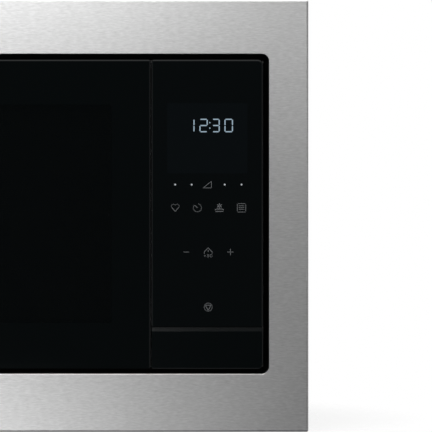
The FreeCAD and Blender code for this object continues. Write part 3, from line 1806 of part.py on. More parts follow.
def make_fan_shroud():
    half, wall = S.fan_duct_half, S.latch_board_wall
    side = (fan_x - half, fan_x + half)
    rise = (fan_z - half, fan_z + half)
    duct = ring("shroud_duct", side, (collar_y[1], casing_back), rise, wall)
    face = box("shroud_face", side, (collar_y[1], collar_y[1] + wall), rise)
    bore = S.fan_radius + S.fan_collar
    collar = rod("shroud_collar", "y", (fan_x, fan_z), (collar_y[0], collar_y[1] + PAST), bore + wall)
    posts = [
        rod(f"shroud_post_{sx}_{sz}", "y", (fan_x + sx * post_spot, fan_z + sz * post_spot),
            (motor_y[1], collar_y[1] + PAST), S.post_radius)
        for sx in (-1, 1) for sz in (-1, 1)
    ]
    hole = rod("shroud_hole", "y", (fan_x, fan_z), (collar_y[0] - PAST, collar_y[1] + wall + PAST), bore)
    return cut("fan_shroud", fuse("shroud_solid", duct, face, collar, *posts), hole)


def make_fan_motor():
    """A shaded-pole motor: stack of plates, coil, and a mounting cross on the shroud's posts."""
    half = S.stator_half
    stack = box("stator_stack", (fan_x - half, fan_x + half), motor_y, (fan_z - half, fan_z + half))
    coil = box(
        "stator_coil", (fan_x - half / 2, fan_x + half / 2), (motor_y[0] - S.stator_coil_proud, motor_y[1]),
        (fan_z - S.stator_coil_drop, fan_z - half / 2),
    )
    reach = post_spot + S.post_radius
    bars = [
        box(
            f"motor_bar_{n}",
            (fan_x + sx * post_spot - S.post_radius, fan_x + sx * post_spot + S.post_radius),
            (motor_y[1] - S.motor_bar_sheet, motor_y[1]), (fan_z - reach, fan_z + reach),
        )
        for n, sx in enumerate((-1, 1))
    ]
    cross = box("motor_cross", (fan_x - reach, fan_x + reach), (motor_y[1] - S.motor_bar_sheet, motor_y[1]),
                (fan_z - S.motor_cross / 2, fan_z + S.motor_cross / 2))
    bore = rod(
        "motor_bore", "y", (fan_x, fan_z), (motor_y[0] + S.gap_clearance, motor_y[1] + PAST),
        S.fan_shaft_radius + S.running_clearance,
    )
    return cut("fan_motor", fuse("motor_solid", stack, coil, *bars, cross), bore)


def blade_section(radius, pitch):
    """A thin slanted section, square to the blade's length, in (across, along the axis) places."""
    half, thin = S.fan_chord / 2, S.fan_blade_thickness / 2
    rise, run = sine(pitch), cosine(pitch)
    middle = S.fan_hub_length / 2
    corners = ((-1, -1), (1, -1), (1, 1), (-1, 1))
    return [
        (a * half * run - b * thin * rise, middle + a * half * rise * S.fan_rise_share + b * thin * run)
        for a, b in corners
    ]


def make_fan_blade():
    body = new_body("fan_rotor")
    place(body, "y", (fan_x, fan_z), fan_y)
    pad(body, "z", (Size.of(0), S.fan_hub_length), circle((0, 0), S.fan_hub_radius))
    loft = body.newObject("PartDesign::AdditiveLoft", "fan_blade_loft")
    loft.Profile = sketch(
        body, "x", S.fan_hub_radius - S.blade_root, blade_section(S.fan_hub_radius, S.fan_root_pitch),
    )
    loft.Sections = [sketch(body, "x", S.fan_radius, blade_section(S.fan_radius, S.fan_tip_pitch))]
    doc.recompute()
    pattern = body.newObject("PartDesign::PolarPattern", "fan_blades")
    pattern.Originals = [loft]
    axis = next(line for line in body.Origin.OriginFeatures if line.Role == "Z_Axis")
    pattern.Axis = (axis, [""])
    pattern.Angle = 360
    body.Tip = pattern
    bind(pattern, "Occurrences", S.fan_blades)
    doc.recompute()
    shaft = rod(
        "fan_shaft", "y", (fan_x, fan_z), (motor_y[0] + 2 * S.gap_clearance, fan_y + PAST),
        S.fan_shaft_radius,
    )
    return fuse("fan_blade", body, shaft)


# Air duct: leads the air from the magnetron to the lamp vent and the cavity

duct_y = (lamp_y[1] + S.mica_overlap / 2, yoke_y[0])


def make_air_duct():
    wall = S.latch_board_wall
    return cut(
        "air_duct", box("duct_block", (bay_left, yoke_x[1]), (duct_y[0], duct_y[1]), (yoke_z[0], ceiling)),
        box(
            "duct_hollow", (bay_left - PAST, yoke_x[1] - wall), (duct_y[0] + wall, duct_y[1] + PAST),
            (yoke_z[0] + wall, ceiling - wall),
        ),
    )


def make_filter_board():
    """The mains filter: a board on the back panel's side with a choke, a capacitor and a fuse."""
    margin = S.board_margin
    level = ceiling + margin
    x = (bay_left + 4 * margin, bay_right - 2 * margin)
    y = (collar_y[1] - S.filter_length, casing_back)
    plate = box("filter_plate", x, y, (level, level + S.board_thickness))
    top = level + S.board_thickness
    foot = top - S.solder_depth
    choke = rod(
        "filter_choke", "z", (x[0] + S.coil_inset, y[0] + S.coil_inset), (foot, top + S.coil_height),
        S.coil_radius,
    )
    block = box(
        "filter_capacitor", (x[1] - margin - S.filter_block_width, x[1] - margin),
        (y[0] + margin, y[0] + margin + S.filter_block_length), (foot, top + S.filter_block_height),
    )
    fuse_bar = rod(
        "filter_fuse", "y", (fan_x, top + S.fuse_radius - S.solder_depth),
        (y[0] + margin, y[0] + margin + S.fuse_length), S.fuse_radius,
    )
    return fuse("filter_board", plate, choke, block, fuse_bar)


def make_thermal_cutouts():
    """Two round snap cut-outs, one on the magnetron and one on the cavity's ceiling."""
    spots = ((fan_x, source_y, yoke_z[1]), (cavity_middle, turn_centre, ceiling + S.cavity_sheet))
    pieces = []
    for n, (x, y, z) in enumerate(spots):
        can = rod(f"cutout_can_{n}", "z", (x, y), (z, z + S.cutout_height), S.cutout_radius)
        length, width = S.cutout_flange / 2, S.cutout_flange_width / 2
        flange = box(
            f"cutout_flange_{n}", (x - length, x + length), (y - width, y + width), (z, z + S.cavity_sheet)
        )
        pieces.append(fuse(f"cutout_{n}", can, flange))
    return group("thermal_cutouts", *pieces)


# Casing: wrapped sheet over the top and sides, back panel, base plate, feet, cord grommet and screws

inlet = (bay_right - S.inlet_inset, base_top + S.inlet_height)
foot_x = (casing_left + S.foot_inset_side, casing_right - S.foot_inset_side)
foot_y = (plate_back + S.foot_inset_front, casing_back - S.foot_inset_back)


def screw_places():
    """The (x, z) of the screws round the back panel."""
    edge = 2 * S.screw_head_radius
    for x in (casing_left + edge, casing_right - edge):
        for z in (base_top + edge, (base_top + casing_top) / 2, casing_top - edge):
            yield x, z
    for x in (casing_left / 3, casing_right / 3):
        yield x, casing_top - edge


def slot_row(label, axis, across, start, level, count):
    """A row of slots through a sheet square to an axis; the row runs along Y or X."""
    slots = []
    for n in range(int(count.value)):
        low = start + n * S.vent_pitch
        span = (low, low + S.vent_slot_width)
        rise = (level, level + S.vent_slot_length)
        if axis == "x":
            slots.append(box(f"{label}_{n}", across, span, rise))
        elif axis == "y":
            slots.append(box(f"{label}_{n}", span, across, rise))
        else:
            slots.append(box(f"{label}_{n}", span, rise, across))
    return slots


def make_outer_casing():
    wall = S.casing_sheet
    outer = box(
        "casing_outer", (casing_left, casing_right), (plate_back, casing_back), (base_bottom, casing_top),
    )
    inner = box(
        "casing_inner", (casing_left + wall, casing_right - wall), (plate_back - PAST, casing_back + PAST),
        (base_bottom - PAST, casing_top - wall),
    )
    right = slot_row(
        "casing_slot_right", "x", (casing_right - 2 * PAST, casing_right + PAST), yoke_y[0], source_z,
        S.casing_slots,
    )
    left = slot_row(
        "casing_slot_left", "x", (casing_left - PAST, casing_left + 2 * PAST), exhaust_y[0], exhaust_z[0],
        S.casing_slots,
    )
    return cut("outer_casing", cut("casing_shell", outer, inner), *right, *left)


def make_back_panel():
    """A sheet with a pressed field that stiffens it, rows of slots and the hole of the cord's grommet."""
    depth = (casing_back - PAST, casing_back + S.casing_sheet + PAST)
    plate = box(
        "back_plate", (casing_left, casing_right), (casing_back, casing_back + S.casing_sheet),
        (base_bottom, casing_top),
    )
    middle = (floor + ceiling) / 2 - S.emboss_height / 2
    raised = new_body("back_raised")
    half, rise = S.emboss_width / 2, S.emboss_height / 2
    sheet_back = casing_back + S.casing_sheet
    corner = S.emboss_corner
    pad(
        raised, "y", (casing_back, sheet_back + S.emboss_depth),
        rounded(
            (cavity_middle - half, cavity_middle + half), (middle - rise, middle + rise), corner, corner,
            corner, corner,
        ),
    )
    hollow = new_body("back_hollow")
    half, rise = half - S.casing_sheet, rise - S.casing_sheet
    corner = corner - S.casing_sheet
    pad(
        hollow, "y", (casing_back - PAST, casing_back + S.emboss_depth),
        rounded(
            (cavity_middle - half, cavity_middle + half), (middle - rise, middle + rise), corner, corner,
            corner, corner,
        ),
    )
    start = fan_x - S.fan_slots / 2 * S.vent_pitch
    slots = slot_row(
        "back_slot_low", "y", depth, start, fan_z - S.vent_slot_length - S.vent_slot_width, S.fan_slots,
    )
    slots += slot_row("back_slot_high", "y", depth, start, fan_z + S.vent_slot_width, S.fan_slots)
    slots += slot_row("back_slot_left", "y", depth, cavity_left, ceiling - S.vent_slot_length, S.back_slots)
    hole = rod("back_inlet", "y", inlet, depth, S.inlet_hole_radius)
    holes = [
        rod(f"back_screw_{n}", "y", spot, depth, S.screw_radius + S.screw_clearance)
        for n, spot in enumerate(screw_places())
    ]
    return cut("back_panel", fuse("back_pressing", plate, raised), hollow, *slots, hole, *holes)


def make_base_plate():
    """A floor sheet with a lip up at each side and vents under the transformer."""
    wall = S.casing_sheet
    side = (casing_left + wall, casing_right - wall)
    plate = box("base_sheet", side, (plate_back, casing_back), (base_bottom, base_top))
    lips = [
        box(f"base_lip_{n}", (x, x + wall), (plate_back, casing_back), (base_bottom, base_top + S.base_lip))
        for n, x in enumerate((side[0], side[1] - wall))
    ]
    slots = slot_row(
        "base_slot", "z", (base_bottom - PAST, base_top + PAST), cavity_left,
        turn_centre + S.base_slot_setback, S.base_slots,
    )
    return cut("base_plate", fuse("base_tray", plate, *lips), *slots)


def make_feet():
    feet = []
    for n, (x, y) in enumerate([(x, y) for x in foot_x for y in foot_y]):
        body = new_body(f"foot_{n}")
        place(body, "z", (x, y), 0)
        top, low, step = S.foot_top_radius, S.foot_bottom_radius, S.foot_pad
        groove, shoulder = S.foot_groove, S.foot_shoulder
        revolve(
            body,
            [
                (0, 0), (low, 0), (low, step), (low - groove, step), (low - groove, step + groove),
                (top - shoulder, base_bottom - step), (top, base_bottom - step), (top, base_bottom),
                (0, base_bottom),
            ],
        )
        feet.append(body)
    return group("feet", *feet)


def make_cord_grommet():
    """A rubber ring in the back panel with a flange on each side; the cord itself isn't shown."""
    flange = S.inlet_flange
    body = new_body("cord_grommet")
    place(body, "y", inlet, casing_back - flange)
    depth = 2 * flange + S.casing_sheet
    hole, bore, wide = S.inlet_hole_radius, S.inlet_bore_radius, S.inlet_hole_radius + flange
    revolve(body, [(bore, 0), (wide, 0), (wide, flange), (hole, flange), (hole, flange + S.casing_sheet),
                   (wide, flange + S.casing_sheet), (wide, depth), (bore, depth)])
    return body


def make_screw(label, spot, head_from, sign):
    """A pan-head screw along Y; sign is the way its shank points."""
    head = rod(f"{label}_head", "y", spot, between(head_from, -sign, S.screw_head), S.screw_head_radius)
    shank = rod(f"{label}_shank", "y", spot, between(head_from, sign, S.screw_length), S.screw_radius)
    return fuse(label, head, shank)


def make_screws():
    pieces = [
        make_screw(f"back_fixing_{n}", spot, casing_back + S.casing_sheet, -1)
        for n, spot in enumerate(screw_places())
    ]
    foot_front = plate_front - S.hinge_foot
    for n, spot in enumerate(hinge_screw_places()):
        pieces.append(make_screw(f"hinge_fixing_{n}", spot, foot_front, 1))
    return group("screws", *pieces)


MAKERS = [
    make_trim_frame, make_inner_frame, make_side_rail, make_trim_braces, make_door_glass, make_panel_glass,
    make_door_frame, make_door_panel, make_choke_cover, make_inner_window, make_door_latch,
    make_latch_spring, make_panel_housing, make_open_button, make_button_spring, make_display_module,
    make_control_board, make_latch_board, make_microswitches, make_switch_plungers, make_release_lever,
    make_front_plate, make_cavity_wrap, make_cavity_vents, make_cavity_floor, make_cavity_back,
    make_waveguide, make_waveguide_cover, make_oven_lamp, make_turntable_motor, make_turntable_shaft,
    make_turntable_coupler, make_glass_tray, make_roller_ring, make_magnetron_yoke, make_magnetron_fins,
    make_magnetron_antenna, make_magnetron_filter_box, make_transformer_core, make_transformer_windings,
    make_capacitor, make_capacitor_clamp, make_hv_diode, make_fan_shroud, make_fan_motor, make_fan_blade,
    make_air_duct, make_filter_board, make_thermal_cutouts, make_outer_casing, make_back_panel,
    make_base_plate, make_feet, make_cord_grommet, make_screws,
]

nodes = [make() for make in MAKERS]
nodes += [make_hinge(*side) for side in hinge_sides]
nodes += [make_roller(f"roller_{letter}", 120 * n) for n, letter in enumerate("abc")]
doc.recompute()

for item in doc.Objects:
    if {"Invalid", "Error"} & set(item.State):
        raise RuntimeError(f"{item.Label} did not build: {item.State}")
os.makedirs("parts", exist_ok=True)
for node in nodes:
    if node.Shape.isNull() or not node.Shape.isValid():
        raise RuntimeError(f"{node.Label} has no valid shape")
    node.Shape.exportStep(f"parts/{node.Label}.step")
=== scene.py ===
"""Built-in microwave oven in a brushed steel trim frame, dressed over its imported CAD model.

Metres, in the CAD frame: +X right as seen from the front, +Y back into the cabinet, +Z up.
"""

import json
import math

import bmesh
import bpy
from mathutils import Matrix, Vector


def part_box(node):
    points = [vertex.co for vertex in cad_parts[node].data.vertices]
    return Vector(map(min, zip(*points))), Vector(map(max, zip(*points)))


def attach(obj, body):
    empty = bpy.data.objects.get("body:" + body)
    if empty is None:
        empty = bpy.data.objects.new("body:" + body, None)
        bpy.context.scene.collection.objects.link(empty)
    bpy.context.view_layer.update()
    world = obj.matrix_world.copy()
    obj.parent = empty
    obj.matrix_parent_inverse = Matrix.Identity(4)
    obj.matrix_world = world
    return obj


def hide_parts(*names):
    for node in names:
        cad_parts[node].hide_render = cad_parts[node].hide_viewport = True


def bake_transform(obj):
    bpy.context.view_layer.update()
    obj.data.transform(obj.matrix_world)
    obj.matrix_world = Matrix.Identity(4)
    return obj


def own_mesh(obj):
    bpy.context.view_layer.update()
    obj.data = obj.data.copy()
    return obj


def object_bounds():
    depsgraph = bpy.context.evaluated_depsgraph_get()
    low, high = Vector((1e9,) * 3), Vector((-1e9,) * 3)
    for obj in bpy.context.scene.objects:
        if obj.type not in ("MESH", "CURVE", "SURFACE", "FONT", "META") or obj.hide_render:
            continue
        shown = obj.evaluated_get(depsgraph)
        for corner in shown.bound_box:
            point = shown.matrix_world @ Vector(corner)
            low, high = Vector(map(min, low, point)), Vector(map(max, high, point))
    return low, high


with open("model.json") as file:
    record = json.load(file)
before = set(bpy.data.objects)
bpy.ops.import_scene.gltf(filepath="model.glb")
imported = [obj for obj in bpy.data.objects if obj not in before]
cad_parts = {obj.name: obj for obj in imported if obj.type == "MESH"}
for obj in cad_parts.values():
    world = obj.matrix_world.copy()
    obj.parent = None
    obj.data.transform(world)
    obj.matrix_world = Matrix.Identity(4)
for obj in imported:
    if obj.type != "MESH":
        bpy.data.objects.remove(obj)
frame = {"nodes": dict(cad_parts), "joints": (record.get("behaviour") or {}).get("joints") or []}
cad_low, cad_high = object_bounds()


# Trim frame
# The wide frame round the front is one folded sheet of stainless steel, brushed along its length
# with a fine belt. It hooks over the black inner frame and covers the edge of the cabinet.

class Wire:
    """An output of a node. Sums and products of wires add Math nodes to the same tree."""

    def __init__(self, socket):
        self.socket = socket

    def node(self, kind, settings=None, sockets=None, out=0):
        """Adds any other node: its settings first, then the values or wires of its sockets."""
        made = self.socket.id_data.nodes.new(kind)
        for key, value in (settings or {}).items():
            setattr(made, key, value)
        for key, value in (sockets or {}).items():
            if isinstance(value, Wire):
                self.socket.id_data.links.new(value.socket, made.inputs[key])
            else:
                made.inputs[key].default_value = value
        return Wire(made.outputs[out])

    def math(self, operation, *values):
        return self.node("ShaderNodeMath", {"operation": operation}, dict(enumerate((self, *values))))

    def __add__(self, other):
        return self.math("ADD", other)

    def __sub__(self, other):
        return self.math("SUBTRACT", other)

    def __mul__(self, other):
        return self.math("MULTIPLY", other)

    def __truediv__(self, other):
        return self.math("DIVIDE", other)

    def __lt__(self, other):
        return self.math("LESS_THAN", other)

    def __gt__(self, other):
        return self.math("GREATER_THAN", other)

    def __radd__(self, other):
        return self.math("ADD", other)

    def __rmul__(self, other):
        return self.math("MULTIPLY", other)

    def __rsub__(self, other):
        return self.node("ShaderNodeMath", {"operation": "SUBTRACT"}, {0: other, 1: self})

    def __abs__(self):
        return self.math("ABSOLUTE")

    def blend(self, low, high):
        """A colour between two others, by this amount."""
        colours = {0: self, 6: shade(low), 7: shade(high)}
        return self.node("ShaderNodeMix", {"data_type": "RGBA"}, colours, out=2)

    def stretch(self, *factors):
        """A place with each axis scaled, so that a pattern on it is drawn out."""
        return self.node("ShaderNodeVectorMath", {"operation": "MULTIPLY"}, {0: self, 1: factors})

    def beside(self):
        """Every output of the same node, by name."""
        return {output.name: Wire(output) for output in self.socket.node.outputs}

    def axes(self):
        """The place's x, y and z."""
        return list(self.node("ShaderNodeSeparateXYZ", {}, {0: self}).beside().values())

    def noise(self, scale, detail=2.0, roughness=0.5):
        """Cloudy values round a half, with so many clouds to the metre."""
        texture = {"Vector": self, "Scale": scale, "Detail": detail, "Roughness": roughness}
        return self.node("ShaderNodeTexNoise", {}, texture)

    def bump(self, strength, distance):
        """A normal that stands up where this wire is high."""
        relief = {"Strength": strength, "Distance": distance, "Height": self}
        return self.node("ShaderNodeBump", {}, relief)


def shade(colour):
    """A wire as it is, or three numbers with an alpha after them."""
    return colour if isinstance(colour, Wire) else (*colour, 1.0)


def finish(name):
    """A new finish: its material, and the place on the piece in metres."""
    material = bpy.data.materials.new(name)
    material.use_nodes = True
    place = Wire(material.node_tree.nodes.new("ShaderNodeTexCoord").outputs["Object"])
    return material, place


def surface(material, **sockets):
    """Sets the sockets of the finish's shader: plain values on the socket itself, wires by links."""
    shader = material.node_tree.nodes["Principled BSDF"]
    for name, value in sockets.items():
        socket = shader.inputs[name.replace("_", " ")]
        if isinstance(value, Wire):
            material.node_tree.links.new(value.socket, socket)
        elif socket.type == "RGBA":
            socket.default_value = shade(value)
        else:
            socket.default_value = value


def coat(material, *names):
    """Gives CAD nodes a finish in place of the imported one."""
    for name in names:
        materials = frame["nodes"][name].data.materials
        materials.clear()
        materials.append(material)


LINER_LAP = 0.0025
OPENING_CORNER = 0.0062
HAIRLINE_DEPTH = 0.000001
FOLD = 0.00025
SILL_FOLD = 0.0011
SILL_SLOPE = 0.22
# Widths of the painted shade, a near-black band along the opening's bottom and side edges.
SILL_SHADE_WIDTH = 0.0004
SIDE_SHADE_WIDTH = 0.0002
liner_low, liner_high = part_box("inner_frame")
opening_half = liner_high.x - LINER_LAP
opening_low = liner_low.z + LINER_LAP
opening_high = liner_high.z - LINER_LAP
half_height = (opening_high - opening_low) / 2
material, place = finish("brushed_steel")
x, _, z = place.axes()
grain = place.stretch(190.0, 190.0, 900.0).noise(1.0, 2.0, 0.6)
hairline = place.stretch(25.0, 200.0, 5000.0).noise(1.0, 2.0, 0.6)
cloud = place.noise(7.0)
streak = grain * 0.8 + hairline * 0.3 - 0.05
steel = streak.blend((0.41, 0.41, 0.41), (0.75, 0.75, 0.75))
past_side = (abs(x) - (opening_half - OPENING_CORNER)).math("MAXIMUM", 0.0)
past_level = (abs(z - (opening_low + half_height)) - (half_height - OPENING_CORNER)).math("MAXIMUM", 0.0)
from_opening = (past_side * past_side + past_level * past_level).math("SQRT") - OPENING_CORNER
fold = (1 - from_opening / FOLD).math("MAXIMUM", 0.0).math("MINIMUM", 1.0)
sill = (1 - from_opening / SILL_FOLD).math("MAXIMUM", 0.0).math("MINIMUM", 1.0) * (z < opening_low)
# Painted shade: a near-black band round the bottom and side edges of the opening, standing in for the shade
# on the folded-in edge.
sill_painted_shade = (from_opening < SILL_SHADE_WIDTH) * (z < opening_low + SILL_SHADE_WIDTH)
side_painted_shade = (from_opening < SIDE_SHADE_WIDTH) * (abs(x) > opening_half - SIDE_SHADE_WIDTH)
relief = hairline * HAIRLINE_DEPTH - fold * fold * (FOLD / 2) - sill * (SILL_FOLD * SILL_SLOPE)
surface(
    material,
    Base_Color=sill_painted_shade.math("MAXIMUM", side_painted_shade).blend(steel, (0.02, 0.02, 0.02)),
    Metallic=1.0,
    Roughness=0.33 + (hairline - 0.5) * 0.1 + (cloud - 0.5) * 0.03,
    Normal=relief.bump(1.0, 1.0),
)
coat(material, "trim_frame")


# Black mouldings of the front
# The inner frame, its side rail, the door frame and the panel housing are moulded in black glass-filled
# plastic with a fine spark-eroded grain. They show in the gaps round the door and when it stands open.

material, place = finish("black_moulding")
grain = place.noise(2600.0)
surface(
    material,
    # Painted shade: the colour is near-black, far darker than the plastic itself, so that the gaps round
    # the door read as deep shade.
    Base_Color=place.noise(60.0).blend((0.0015, 0.0015, 0.0015), (0.003, 0.003, 0.003)),
    Roughness=0.5 + grain * 0.15,
    Specular_IOR_Level=0.08,
    Normal=grain.bump(0.25, 0.0001),
)
coat(material, "inner_frame", "side_rail", "door_frame", "panel_housing")


# Door glass
# Toughened float glass with a ground bevel, bonded to the door frame. A black ceramic band is fired on
# round the edge, and the middle is tinted, so that the screen behind it is only just seen.

GLASS_IOR = 1.45
BAND = 0.03
BAND_AT_PANEL = 0.012
SEEN_THROUGH = 0.35
door_low, door_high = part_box("door_panel")


def in_window(x, z):
    """One inside the ceramic band, where the door lets light through, and nought on it."""
    across = (x > door_low.x + BAND) * (x < door_high.x - BAND_AT_PANEL)
    return across * (z > door_low.z + BAND) * (z < door_high.z - BAND)


material, place = finish("door_glass")
x, _, z = place.axes()
surface(
    material,
    Base_Color=place.noise(9.0).blend((0.0003, 0.0014, 0.0017), (0.0008, 0.0021, 0.0024)),
    Roughness=0.03 + place.noise(30.0) * 0.02,
    Alpha=1 - in_window(x, z) * SEEN_THROUGH,
    IOR=GLASS_IOR,
)
coat(material, "door_glass")


# Control panel glass
# The same glass, bonded over the display and the touch keys. It is black all over but for the display
# window, which is a shade lighter.

display_low, display_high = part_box("display_module")
material, place = finish("panel_glass")
x, _, z = place.axes()
across = (x > display_low.x) * (x < display_high.x)
display = across * (z > display_low.z) * (z < display_high.z)
surface(
    material,
    Base_Color=display.blend((0.001, 0.0022, 0.0026), (0.0019, 0.0036, 0.0046)),
    Roughness=0.03 + place.noise(30.0) * 0.02,
    IOR=GLASS_IOR,
)
coat(material, "panel_glass")


# Door-opening button
# A gloss black moulded cap as wide as the panel, which slides in and releases the door. Its upper edge
# slopes back and catches the light, and its lower edge has a painted highlight, a paler strip.

PAINTED_HIGHLIGHT_BAND = 0.0006
button_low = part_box("open_button")[0]
material, place = finish("button_black")
gloss = place.noise(25.0).blend((0.0014, 0.0026, 0.0029), (0.0019, 0.0032, 0.0036))
surface(
    material,
    # Painted highlight: a paler strip along the bottom of the cap, standing in for light caught on its
    # lower bevel.
    Base_Color=(place.axes()[2] < button_low.z + PAINTED_HIGHLIGHT_BAND).blend(gloss, (0.026, 0.0285, 0.03)),
    Roughness=0.1 + place.noise(400.0) * 0.06,
    Specular_IOR_Level=0.2,
)
coat(material, "open_button")


# Clock and symbols
# White-blue segments and key lamps shine through the panel glass, and the keys are printed on it in fine
# pale ink with a faint painted glow. All are thin flat shapes on the face of the glass.

PICTURE = 432
PIXEL = (cad_high.z - cad_low.z) / PICTURE
FRAME_RIGHT = 308.5
INK = 0.00004
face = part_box("panel_glass")[0].y - INK


def at_pixel(column, row):
    """The place on the front, as (x, z), that a pixel of the picture shows."""
    return cad_high.x - (FRAME_RIGHT - column) * PIXEL, cad_low.z + (PICTURE - row) * PIXEL


def new_piece(name, build, material):
    """A mesh that is ready, as an object of the scene in one finish."""
    mesh = bpy.data.meshes.new(name)
    build.to_mesh(mesh)
    build.free()
    mesh.materials.append(material)
    piece = bpy.data.objects.new(name, mesh)
    bpy.context.scene.collection.objects.link(piece)
    return piece


def print_piece(name, outlines, material):
    """Closed shapes, as thin as ink, on the front of the glass; an outline is a list of (x, z)."""
    build = bmesh.new()
    for outline in outlines:
        build.faces.new([build.verts.new((x, face, z)) for x, z in outline])
    backs = bmesh.ops.extrude_face_region(build, geom=build.faces[:], use_keep_orig=True)["geom"]
    backs = [item for item in backs if isinstance(item, bmesh.types.BMVert)]
    bmesh.ops.translate(build, verts=backs, vec=(0.0, INK / 2, 0.0))
    bmesh.ops.recalc_face_normals(build, faces=build.faces)
    piece = new_piece(name, build, material)
    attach(piece, "chassis")


OVERRUN = 0.3


def stroke(points, width, closed=False):
    """Bars along a line of points, each as wide as a pen stroke and a little longer than its stretch."""
    following = points[1:] + points[:1] if closed else points[1:]
    for (ax, az), (bx, bz) in zip(points, following):
        length = math.hypot(bx - ax, bz - az)
        along_x, along_z = (bx - ax) / length * width, (bz - az) / length * width
        over_x, over_z = along_x * OVERRUN, along_z * OVERRUN
        side_x, side_z = -along_z / 2, along_x / 2
        yield [
            (ax - over_x + side_x, az - over_z + side_z),
            (ax - over_x - side_x, az - over_z - side_z),
            (bx + over_x - side_x, bz + over_z - side_z),
            (bx + over_x + side_x, bz + over_z + side_z),
        ]


def arc(cx, cz, radius, start, end, steps):
    """Points round a circle, by degrees."""
    turns = [math.radians(start + (end - start) * n / steps) for n in range(steps + 1)]
    return [(cx + radius * math.cos(turn), cz + radius * math.sin(turn)) for turn in turns]


DISC_SIDES = 20


def disc(cx, cz, radius):
    """The outline of a round dot."""
    return arc(cx, cz, radius, 0, 360, DISC_SIDES)[:-1]


SEGMENTS = {"1": "bc", "2": "abged", "3": "abgcd", "0": "abcdef"}
BAR_GAP = 0.72


def digit(character, left, right, low, high, width):
    """The lit segments of one figure, each a bar with pointed ends and a gap to the next."""
    middle = (low + high) / 2
    lines = {
        "a": ((left, high), (right, high)),
        "b": ((right, high), (right, middle)),
        "c": ((right, middle), (right, low)),
        "d": ((left, low), (right, low)),
        "e": ((left, middle), (left, low)),
        "f": ((left, high), (left, middle)),
        "g": ((left, middle), (right, middle)),
    }
    for name in SEGMENTS[character]:
        (ax, az), (bx, bz) = lines[name]
        length = math.hypot(bx - ax, bz - az)
        along_x, along_z = (bx - ax) / length * width, (bz - az) / length * width
        ax, az = ax + along_x * BAR_GAP, az + along_z * BAR_GAP
        bx, bz = bx - along_x * BAR_GAP, bz - along_z * BAR_GAP
        half_x, half_z = along_x / 2, along_z / 2
        yield [
            (ax - half_x, az - half_z), (ax + half_z, az - half_x), (bx + half_z, bz - half_x),
            (bx + half_x, bz + half_z), (bx - half_z, bz + half_x), (ax - half_z, az + half_x),
        ]


CLOCK_TOP, CLOCK_FOOT = 119.4, 131.8
CLOCK_FIGURES = (("1", 187.0, 194.0), ("2", 200.0, 207.2), ("3", 212.6, 219.2), ("0", 225.0, 232.4))
CLOCK_BAR = 0.001
COLON_COLUMN = 209.8
COLON_ROWS = (122.7, 128.2)
COLON_RADIUS = 0.0006
material, place = finish("clock_light")
surface(
    material,
    Base_Color=(0.02, 0.02, 0.02),
    Emission_Color=place.noise(900.0).blend((0.24, 0.33, 0.4), (0.32, 0.43, 0.52)),
    Emission_Strength=1.0,
    Roughness=0.3,
)
bars = []
for character, left, right in CLOCK_FIGURES:
    left_x, foot_z = at_pixel(left, CLOCK_FOOT)
    right_x, top_z = at_pixel(right, CLOCK_TOP)
    bars.extend(digit(character, left_x, right_x, foot_z, top_z, CLOCK_BAR))
for row in COLON_ROWS:
    bars.append(disc(*at_pixel(COLON_COLUMN, row), COLON_RADIUS))
print_piece("clock_digits", bars, material)

LAMP_COLUMNS = (175.2, 191.7, 224.7, 241.5)
LAMP_ROW = 184.6
LAMP_RADIUS = 0.0008
material, place = finish("key_lamp")
surface(
    material,
    Base_Color=(0.05, 0.05, 0.05),
    Emission_Color=place.noise(900.0).blend((0.3, 0.32, 0.34), (0.42, 0.45, 0.48)),
    Emission_Strength=1.0,
    Roughness=0.4,
)
lamps = [disc(*at_pixel(column, LAMP_ROW), LAMP_RADIUS) for column in LAMP_COLUMNS]
print_piece("key_lamps", lamps, material)

PEN = 0.00055
VOLUME = (207.4, 184.6)
HEART = (175.3, 207.6)
TIMER = (197.4, 207.6)
THAW = (219.4, 207.6)
MENU = (241.5, 207.8)
MINUS = (186.2, 252.0)
START = (208.2, 252.0)
PLUS = (230.4, 252.0)
STOP = (208.2, 307.0)
START_FIGURES = (("3", -1.3, 0.7), ("0", 1.9, 3.9))
START_FOOT, START_TOP = -4.9, -2.5
material, place = finish("key_print_and_painted_glow")
surface(
    material,
    Base_Color=place.noise(700.0).blend((0.08, 0.085, 0.09), (0.11, 0.115, 0.12)),
    # Painted glow: a faint emission on the ink, which makes it brighter than the lamps alone would.
    Emission_Color=(0.02, 0.021, 0.022),
    Emission_Strength=1.0,
    Roughness=0.6,
)
ink = []


def draw(middle, points, width=1.0, closed=False):
    """A line of a key's symbol, by pixels right and up from the symbol's middle, in widths of the pen."""
    cx, cz = at_pixel(*middle)
    ink.extend(stroke([(cx + u * PIXEL, cz + v * PIXEL) for u, v in points], PEN * width, closed))


draw(VOLUME, [(-4.2, -3.3), (4.0, -3.3), (4.0, 3.3)], 0.9, closed=True)
lobe = arc(-1.9, 1.4, 2.0, 30, 210, 9)
draw(HEART, lobe + [(0, -3.8)] + [(-u, v) for u, v in reversed(lobe)], 0.95, closed=True)
draw(TIMER, arc(0, -0.2, 4.0, 75, -220, 26), 1.15)
draw(TIMER, [(-2.2, 2.0), (0, -0.2)], 1.1)
for turn in (30, 90, 150):
    u, v = 2.3 * math.cos(math.radians(turn)), 2.3 * math.sin(math.radians(turn))
    draw(THAW, [(-u, 1.7 - v), (u, 1.7 + v)], 1.4)
draw(THAW, [(-4.2, -2.2), (-2.6, -1.4), (2.6, -1.4), (4.2, -2.2)], 1.5)
draw(THAW, [(-3.6, -3.8), (3.6, -3.8)], 1.3)
corners = [(side * 3.6, level * 3.6) for side, level in ((-1, -1), (1, -1), (1, 1), (-1, 1))]
rounded = [arc(u, v, 0.6, 180 + 90 * n, 270 + 90 * n, 3) for n, (u, v) in enumerate(corners)]
draw(MENU, sum(rounded, []), 0.9, closed=True)
